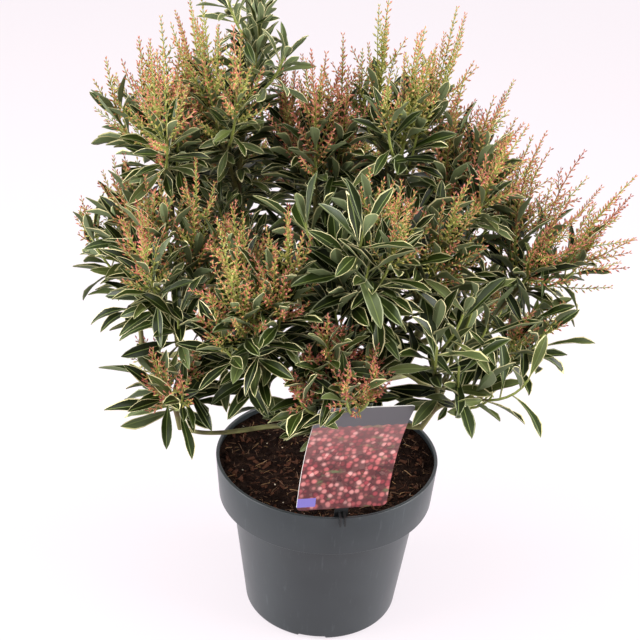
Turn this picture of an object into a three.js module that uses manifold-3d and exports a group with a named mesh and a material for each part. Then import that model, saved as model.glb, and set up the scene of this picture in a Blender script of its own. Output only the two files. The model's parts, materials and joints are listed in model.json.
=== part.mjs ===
// A variegated pieris in bud, standing in its nursery pot: a short main stem, five limbs, boughs that carry
// the separate masses of foliage, the peat that fills the pot, and the plant label hooked on the rim.
// Millimetres, +Z up. The origin is the middle of the pot's flat underside; -Y is the front.
import * as THREE from "three";
import { mergeVertices } from "three/addons/utils/BufferGeometryUtils.js";
import Module from "manifold-3d";

const wasm = await Module();
wasm.setup();

// ---------------------------------------------------------------- driving dimensions

const GAP = 0.3; // clearance between pieces that touch
const FINEST = 0.01; // slivers thinner than this, left by a join, are closed up
const ROUND = 32; // sides of the pot and the peat

const POT = {
  rimRadius: 102.5, height: 161, lipHeight: 3, lipStep: 1.2,
  collarFoot: { radius: 99.5, z: 121 }, // lower edge of the straight collar
  shoulder: { radius: 86.5, z: 111 }, // where the bevel under the collar meets the body
  baseRadius: 73, baseRound: 3, wall: 1.8, floor: 2.4,
};
const NOTCH = { count: 4, width: 26, height: 4.5, depth: 6, firstAngle: -95 };
const DRAIN = { count: 6, radius: 6, ring: 50, sides: 12 };
const SOIL = { level: 148, edgeDip: 4, flatShare: 0.8 };

const LABEL = {
  width: 80, height: 120, thickness: 0.9, cornerRadius: 4,
  footAngle: -81.7, footRadius: 94.5, footZ: 166.6,
  yaw: 16, roll: -4, leanBack: 2, bend: 31, rows: 7,
  tongue: { width: 12, length: 34, overlap: 3 },
  prong: { width: 2.2, length: 9, apart: 5, thickness: 1.2, reach: 2, above: 2.2 },
};

const STEM = {
  footRadius: 7.6, flare: 1.5, flareHeight: 0.3, forkRadius: 6.2, forkAt: [-5, 2, 192], gather: 0.33,
};
const LIMB = { sides: 6, steps: 4, gather: 0.34, tipLean: 0.35 };
const TWIG_SIDES = 3;

// Limbs in the order they leave the main stem: where along it (0 foot, 1 tip), and the angle, reach from the
// pot's axis and height of each tip. A bough leaves one of them, or the stem, at the place its mass names.
const LIMBS = [
  { name: "limb_front", along: 0.72, angle: -95, reach: 46, height: 250, radii: [4.6, 3.8] },
  { name: "limb_back", along: 0.8, angle: 88, reach: 58, height: 262, radii: [4.6, 3.8] },
  { name: "limb_left", along: 0.88, angle: 183, reach: 74, height: 292, radii: [4.8, 3.8] },
  { name: "limb_right", along: 0.93, angle: -5, reach: 74, height: 290, radii: [4.8, 3.8] },
  { name: "limb_centre", along: 1, angle: 160, reach: 18, height: 318, radii: [4.8, 3.9] },
];
const BOUGH = { rootRadius: 3.4, tipRadius: 2.5, footPull: 2 };

// One row a mass of foliage: the middle of its flower-bearing tips as angle, reach and height, its shoots, how far
// they stand apart, the angle of the first of them, how far they lean out, and how much the outer ones fall.
const MASSES = [
  { name: "leader", parent: "limb_centre", along: 1, angle: 172, reach: 92, height: 500,
    shoots: 4, spread: 26, turn: -30, lean: 0.1, fall: 1.2, seed: 11 },
  { name: "upper_left", parent: "limb_left", along: 1, angle: 178, reach: 141, height: 462,
    shoots: 3, spread: 27, turn: -100, lean: 0.02, fall: 0, seed: 12 },
  { name: "left", parent: "limb_left", along: 0.8, angle: 178, reach: 177, height: 392,
    shoots: 2, spread: 22, turn: -60, lean: 0.08, fall: 1, seed: 13 },
  { name: "left_front", parent: "limb_left", along: 0.62, angle: 207, reach: 146, height: 376,
    shoots: 2, spread: 20, turn: 215, lean: 0.08, fall: 0.2, seed: 14 },
  { name: "crown_middle", parent: "limb_centre", along: 0.9, angle: 150, reach: 28, height: 466,
    shoots: 3, spread: 26, turn: -85, lean: 0.1, fall: 0, seed: 15 },
  { name: "crown_right", parent: "limb_centre", along: 0.74, angle: 20, reach: 54, height: 487,
    shoots: 3, spread: 26, turn: -90, lean: 0.15, fall: 0.2, seed: 36 },
  { name: "right_upper", parent: "limb_right", along: 1, angle: 2, reach: 104, height: 450,
    shoots: 3, spread: 30, turn: 66, lean: 0.3, fall: 0.2, seed: 17 },
  { name: "far_right", parent: "limb_right", along: 0.86, angle: 2, reach: 168, height: 380,
    shoots: 3, spread: 26, turn: -90, lean: 0.75, fall: 0.8, seed: 18 },
  { name: "right_lower", parent: "limb_right", along: 0.66, angle: -12, reach: 165, height: 322,
    shoots: 2, spread: 20, turn: -120, lean: 0.7, fall: 0.3, seed: 19 },
  { name: "right_front", parent: "limb_front", along: 0.8, angle: -38, reach: 128, height: 322,
    shoots: 3, spread: 24, turn: -40, lean: 0.5, fall: 1.1, seed: 20 },
  { name: "middle_right", parent: "limb_right", along: 0.52, angle: -38, reach: 80, height: 392,
    shoots: 2, spread: 20, turn: -20, lean: 0.3, fall: 0, seed: 21 },
  { name: "front", parent: "limb_front", along: 1, angle: -79, reach: 86, height: 405,
    shoots: 2, spread: 18, turn: 20, lean: 0.2, fall: 0, seed: 22 },
  { name: "front_left", parent: "limb_front", along: 0.9, angle: -121, reach: 120, height: 373,
    shoots: 3, spread: 24, turn: 0, lean: 0.25, fall: 0.4, seed: 23 },
  { name: "low_front", parent: "limb_front", along: 0.62, angle: -86, reach: 108, height: 312,
    shoots: 3, spread: 27, turn: 200, lean: 0.5, fall: 1, seed: 24 },
  { name: "low_left", parent: "main_stem", along: 0.6, angle: -148, reach: 152, height: 288,
    shoots: 3, spread: 27, turn: -100, lean: 0.2, fall: 0.3, seed: 25 },
  { name: "back_left", parent: "limb_back", along: 1, angle: 138, reach: 142, height: 388,
    shoots: 3, spread: 27, turn: 80, lean: 0.3, fall: 0.5, seed: 26 },
  { name: "back_middle", parent: "limb_back", along: 0.88, angle: 92, reach: 112, height: 402,
    shoots: 3, spread: 27, turn: 30, lean: 0.25, fall: 0.5, seed: 27 },
  { name: "back_right", parent: "limb_back", along: 0.76, angle: 45, reach: 148, height: 380,
    shoots: 3, spread: 27, turn: 0, lean: 0.35, fall: 0.5, seed: 28 },
  { name: "low_back_left", parent: "limb_back", along: 0.62, angle: 128, reach: 148, height: 285,
    shoots: 3, spread: 25, turn: 90, lean: 0.5, fall: 0.5, seed: 29 },
  { name: "low_back", parent: "limb_back", along: 0.5, angle: 82, reach: 142, height: 292,
    shoots: 2, spread: 24, turn: 60, lean: 0.5, fall: 0.5, seed: 30 },
  { name: "low_right", parent: "limb_right", along: 0.38, angle: 30, reach: 148, height: 292,
    shoots: 2, spread: 24, turn: 0, lean: 0.55, fall: 0.4, seed: 31 },
];

const SPACE = {
  margin: 0.5, flatten: 0.6, foliageDrop: 34, depth: 140, lowest: 228, footStep: 4, tipSpare: 3,
};
const SHOOT = {
  stemRadii: [2.5, 2.2], radii: [2.2, 1.6], steps: 3, fork: 0.2, overlap: 2, gather: 0.35, splay: 0.008,
};
const LEAF = {
  perShoot: 8, length: [54, 68], width: 0.33, thickness: 1.2, widest: 0.58, fold: 0.5,
  along: [0.14, 0.97], spacing: 0.85, angle: [98, 52], sway: 10, sink: 0.3,
};
const RACEME = {
  perShoot: 4, length: [78, 52], width: 8, bulge: 0.35, along: [0.99, 0.9], angle: [6, 38], vary: [0.9, 1.1],
  sink: 0.3,
};
const GOLDEN_ANGLE = 137.5;
const RETRY = { tries: 4, turn: 50, shorten: 0.14 }; // for a leaf or raceme with no room, before it is skipped
const CLEAR = { potSide: 1, potTop: 1, label: 0.6 }; // how far twigs and leaves keep from the pot and the label

const COLOURS = {
  pot: 0x4f5256, soil: 0x2c1d14, label: 0x9a4a55, bark: 0x6b5138, foliage: 0x4a6340,
};

// ---------------------------------------------------------------- small helpers

const UP = new THREE.Vector3(0, 0, 1);
const radians = THREE.MathUtils.degToRad;
const lerp = THREE.MathUtils.lerp;

// A seeded stream of numbers from 0 to 1 (mulberry32).
function randomFrom(seed) {
  let state = seed >>> 0;
  return () => {
    state = (state + 0x6d2b79f5) >>> 0;
    let mixed = Math.imul(state ^ (state >>> 15), 1 | state);
    mixed = (mixed + Math.imul(mixed ^ (mixed >>> 7), 61 | mixed)) ^ mixed;
    return ((mixed ^ (mixed >>> 14)) >>> 0) / 4294967296;
  };
}

function polar(angle, reach, height) {
  return new THREE.Vector3(reach * Math.cos(radians(angle)), reach * Math.sin(radians(angle)), height);
}

function outwardOf(point) {
  return new THREE.Vector3(point.x, point.y, 0).normalize();
}

// A geometry as a closed solid whose vertices are shared.
function solidOf(geometry) {
  const bare = geometry.index ? geometry.toNonIndexed() : geometry.clone();
  bare.deleteAttribute("normal");
  bare.deleteAttribute("uv");
  const merged = mergeVertices(bare, 1e-4);
  return new wasm.Manifold(new wasm.Mesh({
    numProp: 3,
    vertProperties: merged.attributes.position.array,
    triVerts: new Uint32Array(merged.index.array),
  }));
}

function geometryOf(solid) {
  const mesh = solid.simplify(FINEST).getMesh();
  const geometry = new THREE.BufferGeometry();
  geometry.setAttribute("position", new THREE.BufferAttribute(new Float32Array(mesh.vertProperties), 3));
  geometry.setIndex(new THREE.BufferAttribute(new Uint32Array(mesh.triVerts), 1));
  geometry.computeVertexNormals();
  return geometry;
}

// Moves each vertex of a geometry to where place(x, y, z) puts it.
function reshape(geometry, place) {
  const position = geometry.attributes.position;
  for (let i = 0; i < position.count; i++) {
    const moved = place(position.getX(i), position.getY(i), position.getZ(i));
    position.setXYZ(i, moved.x, moved.y, moved.z);
  }
  return geometry;
}

// The biggest piece of a solid that a cut may have parted.
function mainPiece(solid) {
  return solid.decompose().reduce((best, piece) => (piece.volume() > best.volume() ? piece : best));
}

function piece(name, solid, colour, roughness) {
  const material = new THREE.MeshStandardMaterial({ color: colour, roughness, metalness: 0 });
  const mesh = new THREE.Mesh(geometryOf(solid), material);
  mesh.name = name;
  return mesh;
}

// ---------------------------------------------------------------- pot, peat and label

// The pot's outer line from the foot up to the rim.
function potOutline() {
  const { baseRadius, baseRound, shoulder, collarFoot, rimRadius, height } = POT;
  return [
    [baseRadius - baseRound, 0], [baseRadius, baseRound], [shoulder.radius, shoulder.z],
    [collarFoot.radius, collarFoot.z], [rimRadius, height],
  ];
}

function lathe(points) {
  const profile = points.map(([radius, z]) => new THREE.Vector2(radius, z));
  return solidOf(new THREE.LatheGeometry(profile, ROUND).rotateX(Math.PI / 2));
}

function makePot() {
  const outer = potOutline();
  const inner = outer.slice(1).reverse().map(([radius, z]) => [radius - POT.wall, z]);
  inner[0] = [POT.rimRadius - POT.wall - POT.lipStep, POT.height];
  inner.splice(1, 0, [POT.rimRadius - POT.wall - POT.lipStep, POT.height - POT.lipHeight],
    [POT.rimRadius - POT.wall, POT.height - POT.lipHeight]);
  const last = inner.length - 1;
  inner[last] = [POT.baseRadius - POT.wall, POT.floor];
  let pot = lathe([[0, 0], ...outer, ...inner, [0, POT.floor]]);
  const notch = new THREE.BoxGeometry(NOTCH.width, 2 * NOTCH.depth, 2 * NOTCH.height);
  for (let i = 0; i < NOTCH.count; i++) {
    const angle = radians(NOTCH.firstAngle + (i * 360) / NOTCH.count);
    const cut = notch.clone().rotateZ(angle - Math.PI / 2);
    cut.translate(POT.baseRadius * Math.cos(angle), POT.baseRadius * Math.sin(angle), 0);
    pot = pot.subtract(solidOf(cut));
  }
  const hole = new THREE.CylinderGeometry(DRAIN.radius, DRAIN.radius, 4 * POT.floor, DRAIN.sides);
  hole.rotateX(Math.PI / 2);
  for (let i = 0; i < DRAIN.count; i++) {
    const centre = polar((i * 360) / DRAIN.count, DRAIN.ring, 0);
    pot = pot.subtract(solidOf(hole.clone().translate(centre.x, centre.y, 0)));
  }
  return pot;
}

// Peat fills the pot from just above its floor, clear of the notches; its top dips a little towards the wall.
function makeSoil() {
  const wallRadius = (z) => {
    const { collarFoot, rimRadius, height } = POT;
    return lerp(collarFoot.radius, rimRadius, (z - collarFoot.z) / (height - collarFoot.z)) - POT.wall - GAP;
  };
  const edge = SOIL.level - SOIL.edgeDip;
  const { baseRadius, shoulder, collarFoot, wall, floor } = POT;
  return lathe([
    [0, floor + GAP], [baseRadius - NOTCH.depth - 3 * GAP, floor + GAP],
    [shoulder.radius - wall - 3 * GAP, shoulder.z], [collarFoot.radius - wall - 2 * GAP, collarFoot.z + GAP],
    [wallRadius(edge), edge], [wallRadius(edge) * SOIL.flatShare, SOIL.level], [0, SOIL.level],
  ]);
}

// The frame of the label's foot: its width, its height and the side it faces.
function labelFrame() {
  const { yaw, roll, leanBack, footAngle, footRadius, footZ } = LABEL;
  const width = new THREE.Vector3(Math.cos(radians(yaw)), Math.sin(radians(yaw)), Math.tan(radians(roll)));
  width.normalize();
  const back = new THREE.Vector3(-Math.sin(radians(yaw)), Math.cos(radians(yaw)), 0);
  const rise = width.clone().cross(back).applyAxisAngle(width, -radians(leanBack));
  const frame = new THREE.Matrix4().makeBasis(width, rise, width.clone().cross(rise));
  return frame.setPosition(polar(footAngle, footRadius, footZ));
}

// The printed plate: a thin sheet with clipped corners that curls forward as it rises.
function labelPlate(frame, grow) {
  const { width, height, thickness, cornerRadius, bend, rows } = LABEL;
  const curl = radians(bend) / height;
  const plate = new THREE.BoxGeometry(width + 2 * grow, 1, thickness + 2 * grow, 1, rows, 1);
  reshape(plate, (x, y, z) => {
    const row = Math.round((y + 0.5) * rows);
    const isEnd = row === 0 || row === rows;
    const inner = lerp(cornerRadius, height - cornerRadius, (row - 1) / (rows - 2));
    const along = isEnd ? (row / rows) * height : inner;
    const across = isEnd ? x * (1 - (2 * cornerRadius) / width) : x;
    const angle = along * curl;
    const radius = 1 / curl - z;
    return new THREE.Vector3(across, radius * Math.sin(angle), 1 / curl - radius * Math.cos(angle));
  });
  return solidOf(plate.applyMatrix4(frame));
}

// The tongue below the plate that stands in the peat. A grown copy of it cuts the peat.
function labelTongue(frame, grow) {
  const { tongue, thickness } = LABEL;
  const length = tongue.length + tongue.overlap + grow;
  const bar = new THREE.BoxGeometry(tongue.width + 2 * grow, length, thickness + 2 * grow);
  bar.translate(0, tongue.overlap - length / 2, 0);
  return solidOf(bar.applyMatrix4(frame));
}

// Two prongs that reach from the tongue over the rim and down its outer side.
function labelProngs() {
  const { prong, thickness, footRadius, footAngle } = LABEL;
  const [inside, outside] = [footRadius - thickness / 2, POT.rimRadius + prong.reach];
  const [low, high] = [POT.height + 2 * GAP, POT.height + prong.above];
  const [back, foot] = [outside - prong.thickness, low - prong.length];
  const corners = [[inside, low], [back, low], [back, foot], [outside, foot], [outside, high], [inside, high]];
  const hook = new THREE.Shape(corners.map(([along, up]) => new THREE.Vector2(along, up)));
  return [-0.5, 0.5].map((side) => {
    const bar = new THREE.ExtrudeGeometry(hook, { depth: prong.width, bevelEnabled: false });
    bar.translate(0, 0, side * prong.apart - prong.width / 2).rotateX(Math.PI / 2);
    return solidOf(bar.rotateZ(radians(footAngle)));
  });
}

function makeLabel(frame) {
  const sheet = labelPlate(frame, 0).add(labelTongue(frame, 0));
  return labelProngs().reduce((joined, prong) => joined.add(prong), sheet);
}

// ---------------------------------------------------------------- limbs

// Stations along a curve, each with a point, a tangent and two sides that don't twist.
function stationsOf(curve, steps) {
  const stations = [];
  let side = new THREE.Vector3(0, 1, 0);
  for (let i = 0; i <= steps; i++) {
    const tangent = curve.getTangent(i / steps);
    side = side.clone().addScaledVector(tangent, -side.dot(tangent)).normalize();
    stations.push({ point: curve.getPoint(i / steps), tangent, side, other: side.clone().cross(tangent) });
  }
  return stations;
}

// A tube along a curve whose radius follows radiusAt(0 to 1), with closed flat ends.
function limbSolid(curve, radiusAt, sides, steps) {
  const stations = stationsOf(curve, steps);
  const tube = new THREE.CylinderGeometry(1, 1, 1, sides, steps);
  reshape(tube, (x, y, z) => {
    const t = y + 0.5;
    const { point, side, other } = stations[Math.round(t * steps)];
    return point.clone().addScaledVector(side, x * radiusAt(t)).addScaledVector(other, z * radiusAt(t));
  });
  return solidOf(tube);
}

function taper(from, to, grow = 0) {
  return (t) => lerp(from, to, t) + grow;
}

function bend(from, fromWay, to, toWay, gather) {
  const reach = gather * from.distanceTo(to);
  return new THREE.CubicBezierCurve3(
    from, from.clone().addScaledVector(fromWay, reach), to.clone().addScaledVector(toWay, -reach), to);
}

// The same curve carried on straight by a little at both ends, for the grown copies that cut.
function lengthened(curve, extra) {
  return new THREE.CubicBezierCurve3(
    curve.v0.clone().addScaledVector(curve.getTangent(0), -extra), curve.v1, curve.v2,
    curve.v3.clone().addScaledVector(curve.getTangent(1), extra));
}

function stemRadius(t, grow) {
  const { footRadius, forkRadius, flare, flareHeight } = STEM;
  const spread = Math.max(0, 1 - t / flareHeight);
  return lerp(footRadius, forkRadius, t) * (1 + (flare - 1) * spread * spread) + grow;
}

// All the wood that isn't twigs: each limb or bough starts inside its parent and is cut clear of what is there.
class Framework {
  constructor() {
    this.curves = new Map();
    this.solids = new Map();
    this.grown = null;
  }

  // Where a child leaves its parent, and which way: between the parent's own way and the way to the target.
  start(parent, along, target) {
    const curve = this.curves.get(parent);
    const point = curve.getPoint(along);
    const way = target.clone().sub(point).normalize();
    return { point, way: way.add(curve.getTangent(along)).normalize() };
  }

  add(name, curve, radiusAt) {
    const solid = limbSolid(curve, (t) => radiusAt(t, 0), LIMB.sides, LIMB.steps);
    const grown = limbSolid(lengthened(curve, GAP), (t) => radiusAt(t, GAP), LIMB.sides, LIMB.steps);
    this.solids.set(name, this.grown ? mainPiece(solid.subtract(this.grown)) : solid);
    this.grown = this.grown ? this.grown.add(grown) : grown;
    this.curves.set(name, curve);
  }
}

// ---------------------------------------------------------------- the spaces of the masses

const flat = new THREE.Vector3(1, 1, SPACE.flatten);

function foliageCentre(mass) {
  return polar(mass.angle, mass.reach, mass.height - SPACE.foliageDrop);
}

// A mass keeps to its side of the plane halfway to each other mass, with heights counted less than widths.
function spaceOf(mass) {
  const centre = foliageCentre(mass);
  return MASSES.filter((other) => other !== mass).map((other) => {
    const away = foliageCentre(other).sub(centre);
    const middle = away.clone().multiplyScalar(0.5).add(centre);
    const normal = away.multiply(flat).multiply(flat).normalize();
    return { normal, limit: normal.dot(middle) - SPACE.margin };
  });
}

function isInside(space, points, spare = 0) {
  return points.every((point) => space.every(({ normal, limit }) => normal.dot(point) <= limit - spare));
}

function wayOf(mass) {
  const centre = foliageCentre(mass);
  return outwardOf(centre).multiplyScalar(mass.lean).add(UP).normalize();
}

// The foot of a mass: as far down from its middle as its space goes, up to a set depth.
function footOf(mass, space) {
  const centre = foliageCentre(mass);
  const way = wayOf(mass);
  const { depth, foliageDrop, footStep, lowest } = SPACE;
  let foot = centre;
  for (let down = footStep; down <= depth - foliageDrop; down += footStep) {
    const next = centre.clone().addScaledVector(way, -down);
    if (!isInside(space, [next], footStep) || next.z < lowest) break;
    foot = next;
  }
  return foot;
}

// ---------------------------------------------------------------- foliage

// A spindle of six faces along +Y, whose three middle corners place(x, z) puts at a share of its length.
function spindle(length, middleAt, place) {
  return reshape(new THREE.SphereGeometry(1, TWIG_SIDES, 2), (x, y, z) => {
    if (Math.abs(y) > 0.5) return new THREE.Vector3(0, y > 0 ? length : 0, 0);
    const { across, above } = place(x, z);
    return new THREE.Vector3(across, middleAt * length, above);
  });
}

// A leaf: two raised edges and a keel, widest past its middle, so that it rises from its foot and droops beyond.
function leafGeometry(length) {
  const { width, thickness, widest, fold } = LEAF;
  const half = (length * width) / 2;
  return spindle(length, widest, (x, z) => (
    x < 0 ? { across: 0, above: fold * half - thickness } : { across: -Math.sign(z) * half, above: fold * half }
  ));
}

// A raceme of buds: a slim spindle.
function racemeGeometry(length) {
  const half = RACEME.width / 2;
  return spindle(length, RACEME.bulge, (x, z) => ({ across: -z * half, above: x * half }));
}

// Stands a geometry that lies along +Y at a station: turned round the shoot, and leant out from its way.
function attach(geometry, station, turn, leanOut, sink) {
  const { point, tangent, side, other } = station;
  const [around, out] = [radians(turn), radians(leanOut)];
  const radial = side.clone().multiplyScalar(Math.cos(around)).addScaledVector(other, Math.sin(around));
  const along = tangent.clone().multiplyScalar(Math.cos(out)).addScaledVector(radial, Math.sin(out));
  const above = tangent.clone().multiplyScalar(Math.sin(out)).addScaledVector(radial, -Math.cos(out));
  const frame = new THREE.Matrix4().makeBasis(along.clone().cross(above), along, above);
  return geometry.applyMatrix4(frame.setPosition(point.clone().addScaledVector(along, -sink)));
}

function pointsOf(geometry) {
  const position = geometry.attributes.position;
  return Array.from({ length: position.count }, (_, i) => new THREE.Vector3().fromBufferAttribute(position, i));
}

// A station between two others of a shoot, on the straight line that joins them.
function stationAt(stations, t) {
  const last = stations.length - 1;
  const before = Math.min(Math.floor(t * last), last - 1);
  const [from, to] = [stations[before], stations[before + 1]];
  const point = from.point.clone().lerp(to.point, t * last - before);
  return { ...from, point };
}

// Where the shoots of a mass end: round its middle, the outer ones lower, drawn in until its space holds them.
function shootTips(mass, space) {
  const middle = polar(mass.angle, mass.reach, mass.height);
  const outward = outwardOf(middle);
  return Array.from({ length: mass.shoots }, (_, i) => {
    const offset = polar(mass.turn + (i * 360) / mass.shoots, mass.spread, 0);
    offset.z = -mass.fall * offset.dot(outward);
    let tip = middle.clone().add(offset);
    while (!isInside(space, [tip], SPACE.tipSpare) && offset.length() > 1) {
      offset.multiplyScalar(0.9);
      tip = middle.clone().add(offset);
    }
    return tip;
  });
}

class Mass {
  constructor(row, keptClear) {
    this.row = row;
    this.keptClear = keptClear;
    this.space = spaceOf(row);
    this.random = randomFrom(row.seed);
    this.way = wayOf(row);
    this.foot = footOf(row, this.space);
    this.blades = null; // every leaf and raceme so far, without the twigs
  }

  // Whether a leaf or raceme keeps to the space and clear of the limbs and of the others in the mass.
  fits(geometry, solid) {
    const taken = this.blades ? this.blades.intersect(solid) : null;
    return isInside(this.space, pointsOf(geometry)) && this.keptClear.intersect(solid).isEmpty() &&
      (taken === null || taken.isEmpty());
  }

  // Fuses a leaf or raceme on, turned on and shortened until it fits.
  fuse(make, station, turn, leanOut, sink) {
    for (let attempt = 0; attempt < RETRY.tries; attempt++) {
      const scale = 1 - RETRY.shorten * attempt;
      const geometry = attach(make(scale), station, turn + RETRY.turn * attempt, leanOut, sink);
      const solid = solidOf(geometry);
      if (this.fits(geometry, solid)) {
        this.blades = this.blades ? this.blades.add(solid) : solid;
        this.solid = this.solid.add(solid);
        return;
      }
    }
  }

  leaves(stations) {
    const { perShoot, length, along, spacing, angle, sway, sink } = LEAF;
    const firstTurn = this.random() * 360;
    for (let i = 0; i < perShoot; i++) {
      const order = i / (perShoot - 1);
      const station = stationAt(stations, lerp(...along, order ** spacing));
      const size = lerp(...length, this.random());
      const leanOut = lerp(...angle, order) + sway * (this.random() - 0.5);
      const turn = firstTurn + i * GOLDEN_ANGLE;
      this.fuse((scale) => leafGeometry(size * scale), station, turn, leanOut, sink);
    }
  }

  racemes(stations) {
    const { perShoot, length, along, angle, vary, sink } = RACEME;
    const firstTurn = this.random() * 360;
    for (let i = 0; i < perShoot; i++) {
      const order = i / (perShoot - 1);
      const station = stationAt(stations, lerp(...along, order));
      const size = lerp(...length, order) * lerp(...vary, this.random());
      const turn = firstTurn + i * GOLDEN_ANGLE;
      this.fuse((scale) => racemeGeometry(size * scale), station, turn, lerp(...angle, order), sink);
    }
  }

  grow() {
    const tips = shootTips(this.row, this.space);
    const middle = tips.reduce((sum, tip) => sum.add(tip), new THREE.Vector3()).divideScalar(tips.length);
    const fork = this.foot.clone().addScaledVector(this.way, SHOOT.fork * this.foot.distanceTo(middle));
    const stem = new THREE.LineCurve3(this.foot, fork.clone().addScaledVector(this.way, SHOOT.overlap));
    this.solid = limbSolid(stem, taper(...SHOOT.stemRadii), TWIG_SIDES, 1);
    const shoots = tips.map((tip) => {
      const endWay = tip.clone().sub(middle).multiplyScalar(SHOOT.splay).add(this.way).add(UP).normalize();
      return bend(fork, this.way, tip, endWay, SHOOT.gather);
    });
    shoots.forEach((shoot) => {
      this.solid = this.solid.add(limbSolid(shoot, taper(...SHOOT.radii), TWIG_SIDES, SHOOT.steps));
    });
    this.solid = mainPiece(this.solid.subtract(this.keptClear));
    shoots.map((shoot) => stationsOf(shoot, SHOOT.steps)).forEach((stations) => {
      this.leaves(stations);
      this.racemes(stations);
    });
    return this.solid;
  }
}

// ---------------------------------------------------------------- the whole plant

const plant = new THREE.Group();
const label = labelFrame();
plant.add(piece("pot", makePot(), COLOURS.pot, 0.55));
plant.add(piece("soil", makeSoil().subtract(labelTongue(label, GAP)), COLOURS.soil, 0.95));
plant.add(piece("plant_label", makeLabel(label), COLOURS.label, 0.4));

const wood = new Framework();
const stemFoot = new THREE.Vector3(0, 0, SOIL.level + GAP);
const stemTip = new THREE.Vector3(...STEM.forkAt);
wood.add("main_stem", bend(stemFoot, UP, stemTip, UP, STEM.gather), stemRadius);
for (const { name, along, angle, reach, height, radii } of LIMBS) {
  const tip = polar(angle, reach, height);
  const { point, way } = wood.start("main_stem", along, tip);
  const endWay = outwardOf(tip).multiplyScalar(LIMB.tipLean).add(UP).normalize();
  wood.add(name, bend(point, way, tip, endWay, LIMB.gather), (t, grow) => taper(...radii, grow)(t));
}
for (const mass of MASSES) {
  const foot = footOf(mass, spaceOf(mass));
  const { point, way } = wood.start(mass.parent, mass.along, foot);
  const { rootRadius, tipRadius, footPull } = BOUGH;
  const endWay = foot.clone().sub(point).normalize().multiplyScalar(footPull).add(wayOf(mass)).normalize();
  const curve = bend(point, way, foot, endWay, LIMB.gather);
  wood.add(`bough_${mass.name}`, curve, (t, grow) => taper(rootRadius, tipRadius, grow)(t));
}
for (const [name, solid] of wood.solids) plant.add(piece(name, solid, COLOURS.bark, 0.85));
const potRadii = [POT.rimRadius + CLEAR.potSide, POT.baseRadius + CLEAR.potSide];
const potSpace = new THREE.CylinderGeometry(...potRadii, POT.height + 2 * CLEAR.potTop, ROUND);
potSpace.rotateX(Math.PI / 2).translate(0, 0, POT.height / 2);
const keptClear = wood.grown.add(solidOf(potSpace)).add(labelPlate(label, CLEAR.label));
for (const row of MASSES) {
  plant.add(piece(`foliage_${row.name}`, new Mass(row, keptClear).grow(), COLOURS.foliage, 0.5));
}

export default plant;
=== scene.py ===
"""A variegated pieris in bud, standing in its nursery pot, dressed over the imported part.

The pot, the peat, the plant label and each limb stand for their own solid. Every mass of foliage is grown
again by the part's rule and carried on to finer twigs, with its leaves, its twigs and its racemes each joined
into one piece. Sizes are in millimetres until a mesh is written. +Z is up, -Y is the front and the pot's axis
is the origin.
"""

import json
import logging
import math
from collections.abc import Callable, Iterable, Iterator, Sequence
from dataclasses import dataclass, field, replace
from enum import Enum, IntEnum
from functools import lru_cache

import bmesh
import bpy
import numpy as np
from bmesh.types import BMesh, BMVert
from bpy.types import ID, Material, Mesh, Node, NodeSocket, NodeTree, Object
from mathutils import Matrix, Vector, noise

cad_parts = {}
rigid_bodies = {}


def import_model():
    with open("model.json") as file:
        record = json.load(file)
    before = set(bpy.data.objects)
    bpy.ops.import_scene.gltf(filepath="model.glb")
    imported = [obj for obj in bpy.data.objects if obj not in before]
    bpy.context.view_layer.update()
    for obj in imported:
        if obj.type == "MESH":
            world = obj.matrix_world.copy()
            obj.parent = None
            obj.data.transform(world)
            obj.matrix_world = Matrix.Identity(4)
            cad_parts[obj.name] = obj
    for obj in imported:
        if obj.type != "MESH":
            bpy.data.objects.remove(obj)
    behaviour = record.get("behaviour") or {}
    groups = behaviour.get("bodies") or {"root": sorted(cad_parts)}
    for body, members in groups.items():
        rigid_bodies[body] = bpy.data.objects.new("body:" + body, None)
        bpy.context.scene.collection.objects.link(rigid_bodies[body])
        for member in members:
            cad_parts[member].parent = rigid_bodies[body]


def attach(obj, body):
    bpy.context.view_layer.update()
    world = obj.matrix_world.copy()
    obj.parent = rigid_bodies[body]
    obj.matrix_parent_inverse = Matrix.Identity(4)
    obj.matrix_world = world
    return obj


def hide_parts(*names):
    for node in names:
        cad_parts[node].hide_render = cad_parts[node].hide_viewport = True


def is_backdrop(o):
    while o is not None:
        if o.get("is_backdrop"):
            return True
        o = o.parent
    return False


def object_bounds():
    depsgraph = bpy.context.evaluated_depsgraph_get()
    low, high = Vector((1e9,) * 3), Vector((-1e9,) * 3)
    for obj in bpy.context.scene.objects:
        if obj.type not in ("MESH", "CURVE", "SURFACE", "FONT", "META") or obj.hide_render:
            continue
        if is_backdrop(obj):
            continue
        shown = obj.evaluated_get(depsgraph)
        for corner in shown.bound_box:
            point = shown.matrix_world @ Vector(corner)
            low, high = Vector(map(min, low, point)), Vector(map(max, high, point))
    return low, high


MM = 0.001
UP = np.array([0.0, 0.0, 1.0])
GOLDEN_ANGLE = 137.5
log = logging.getLogger("pieris")


# ---------------------------------------------------------------- numbers and directions


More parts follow.
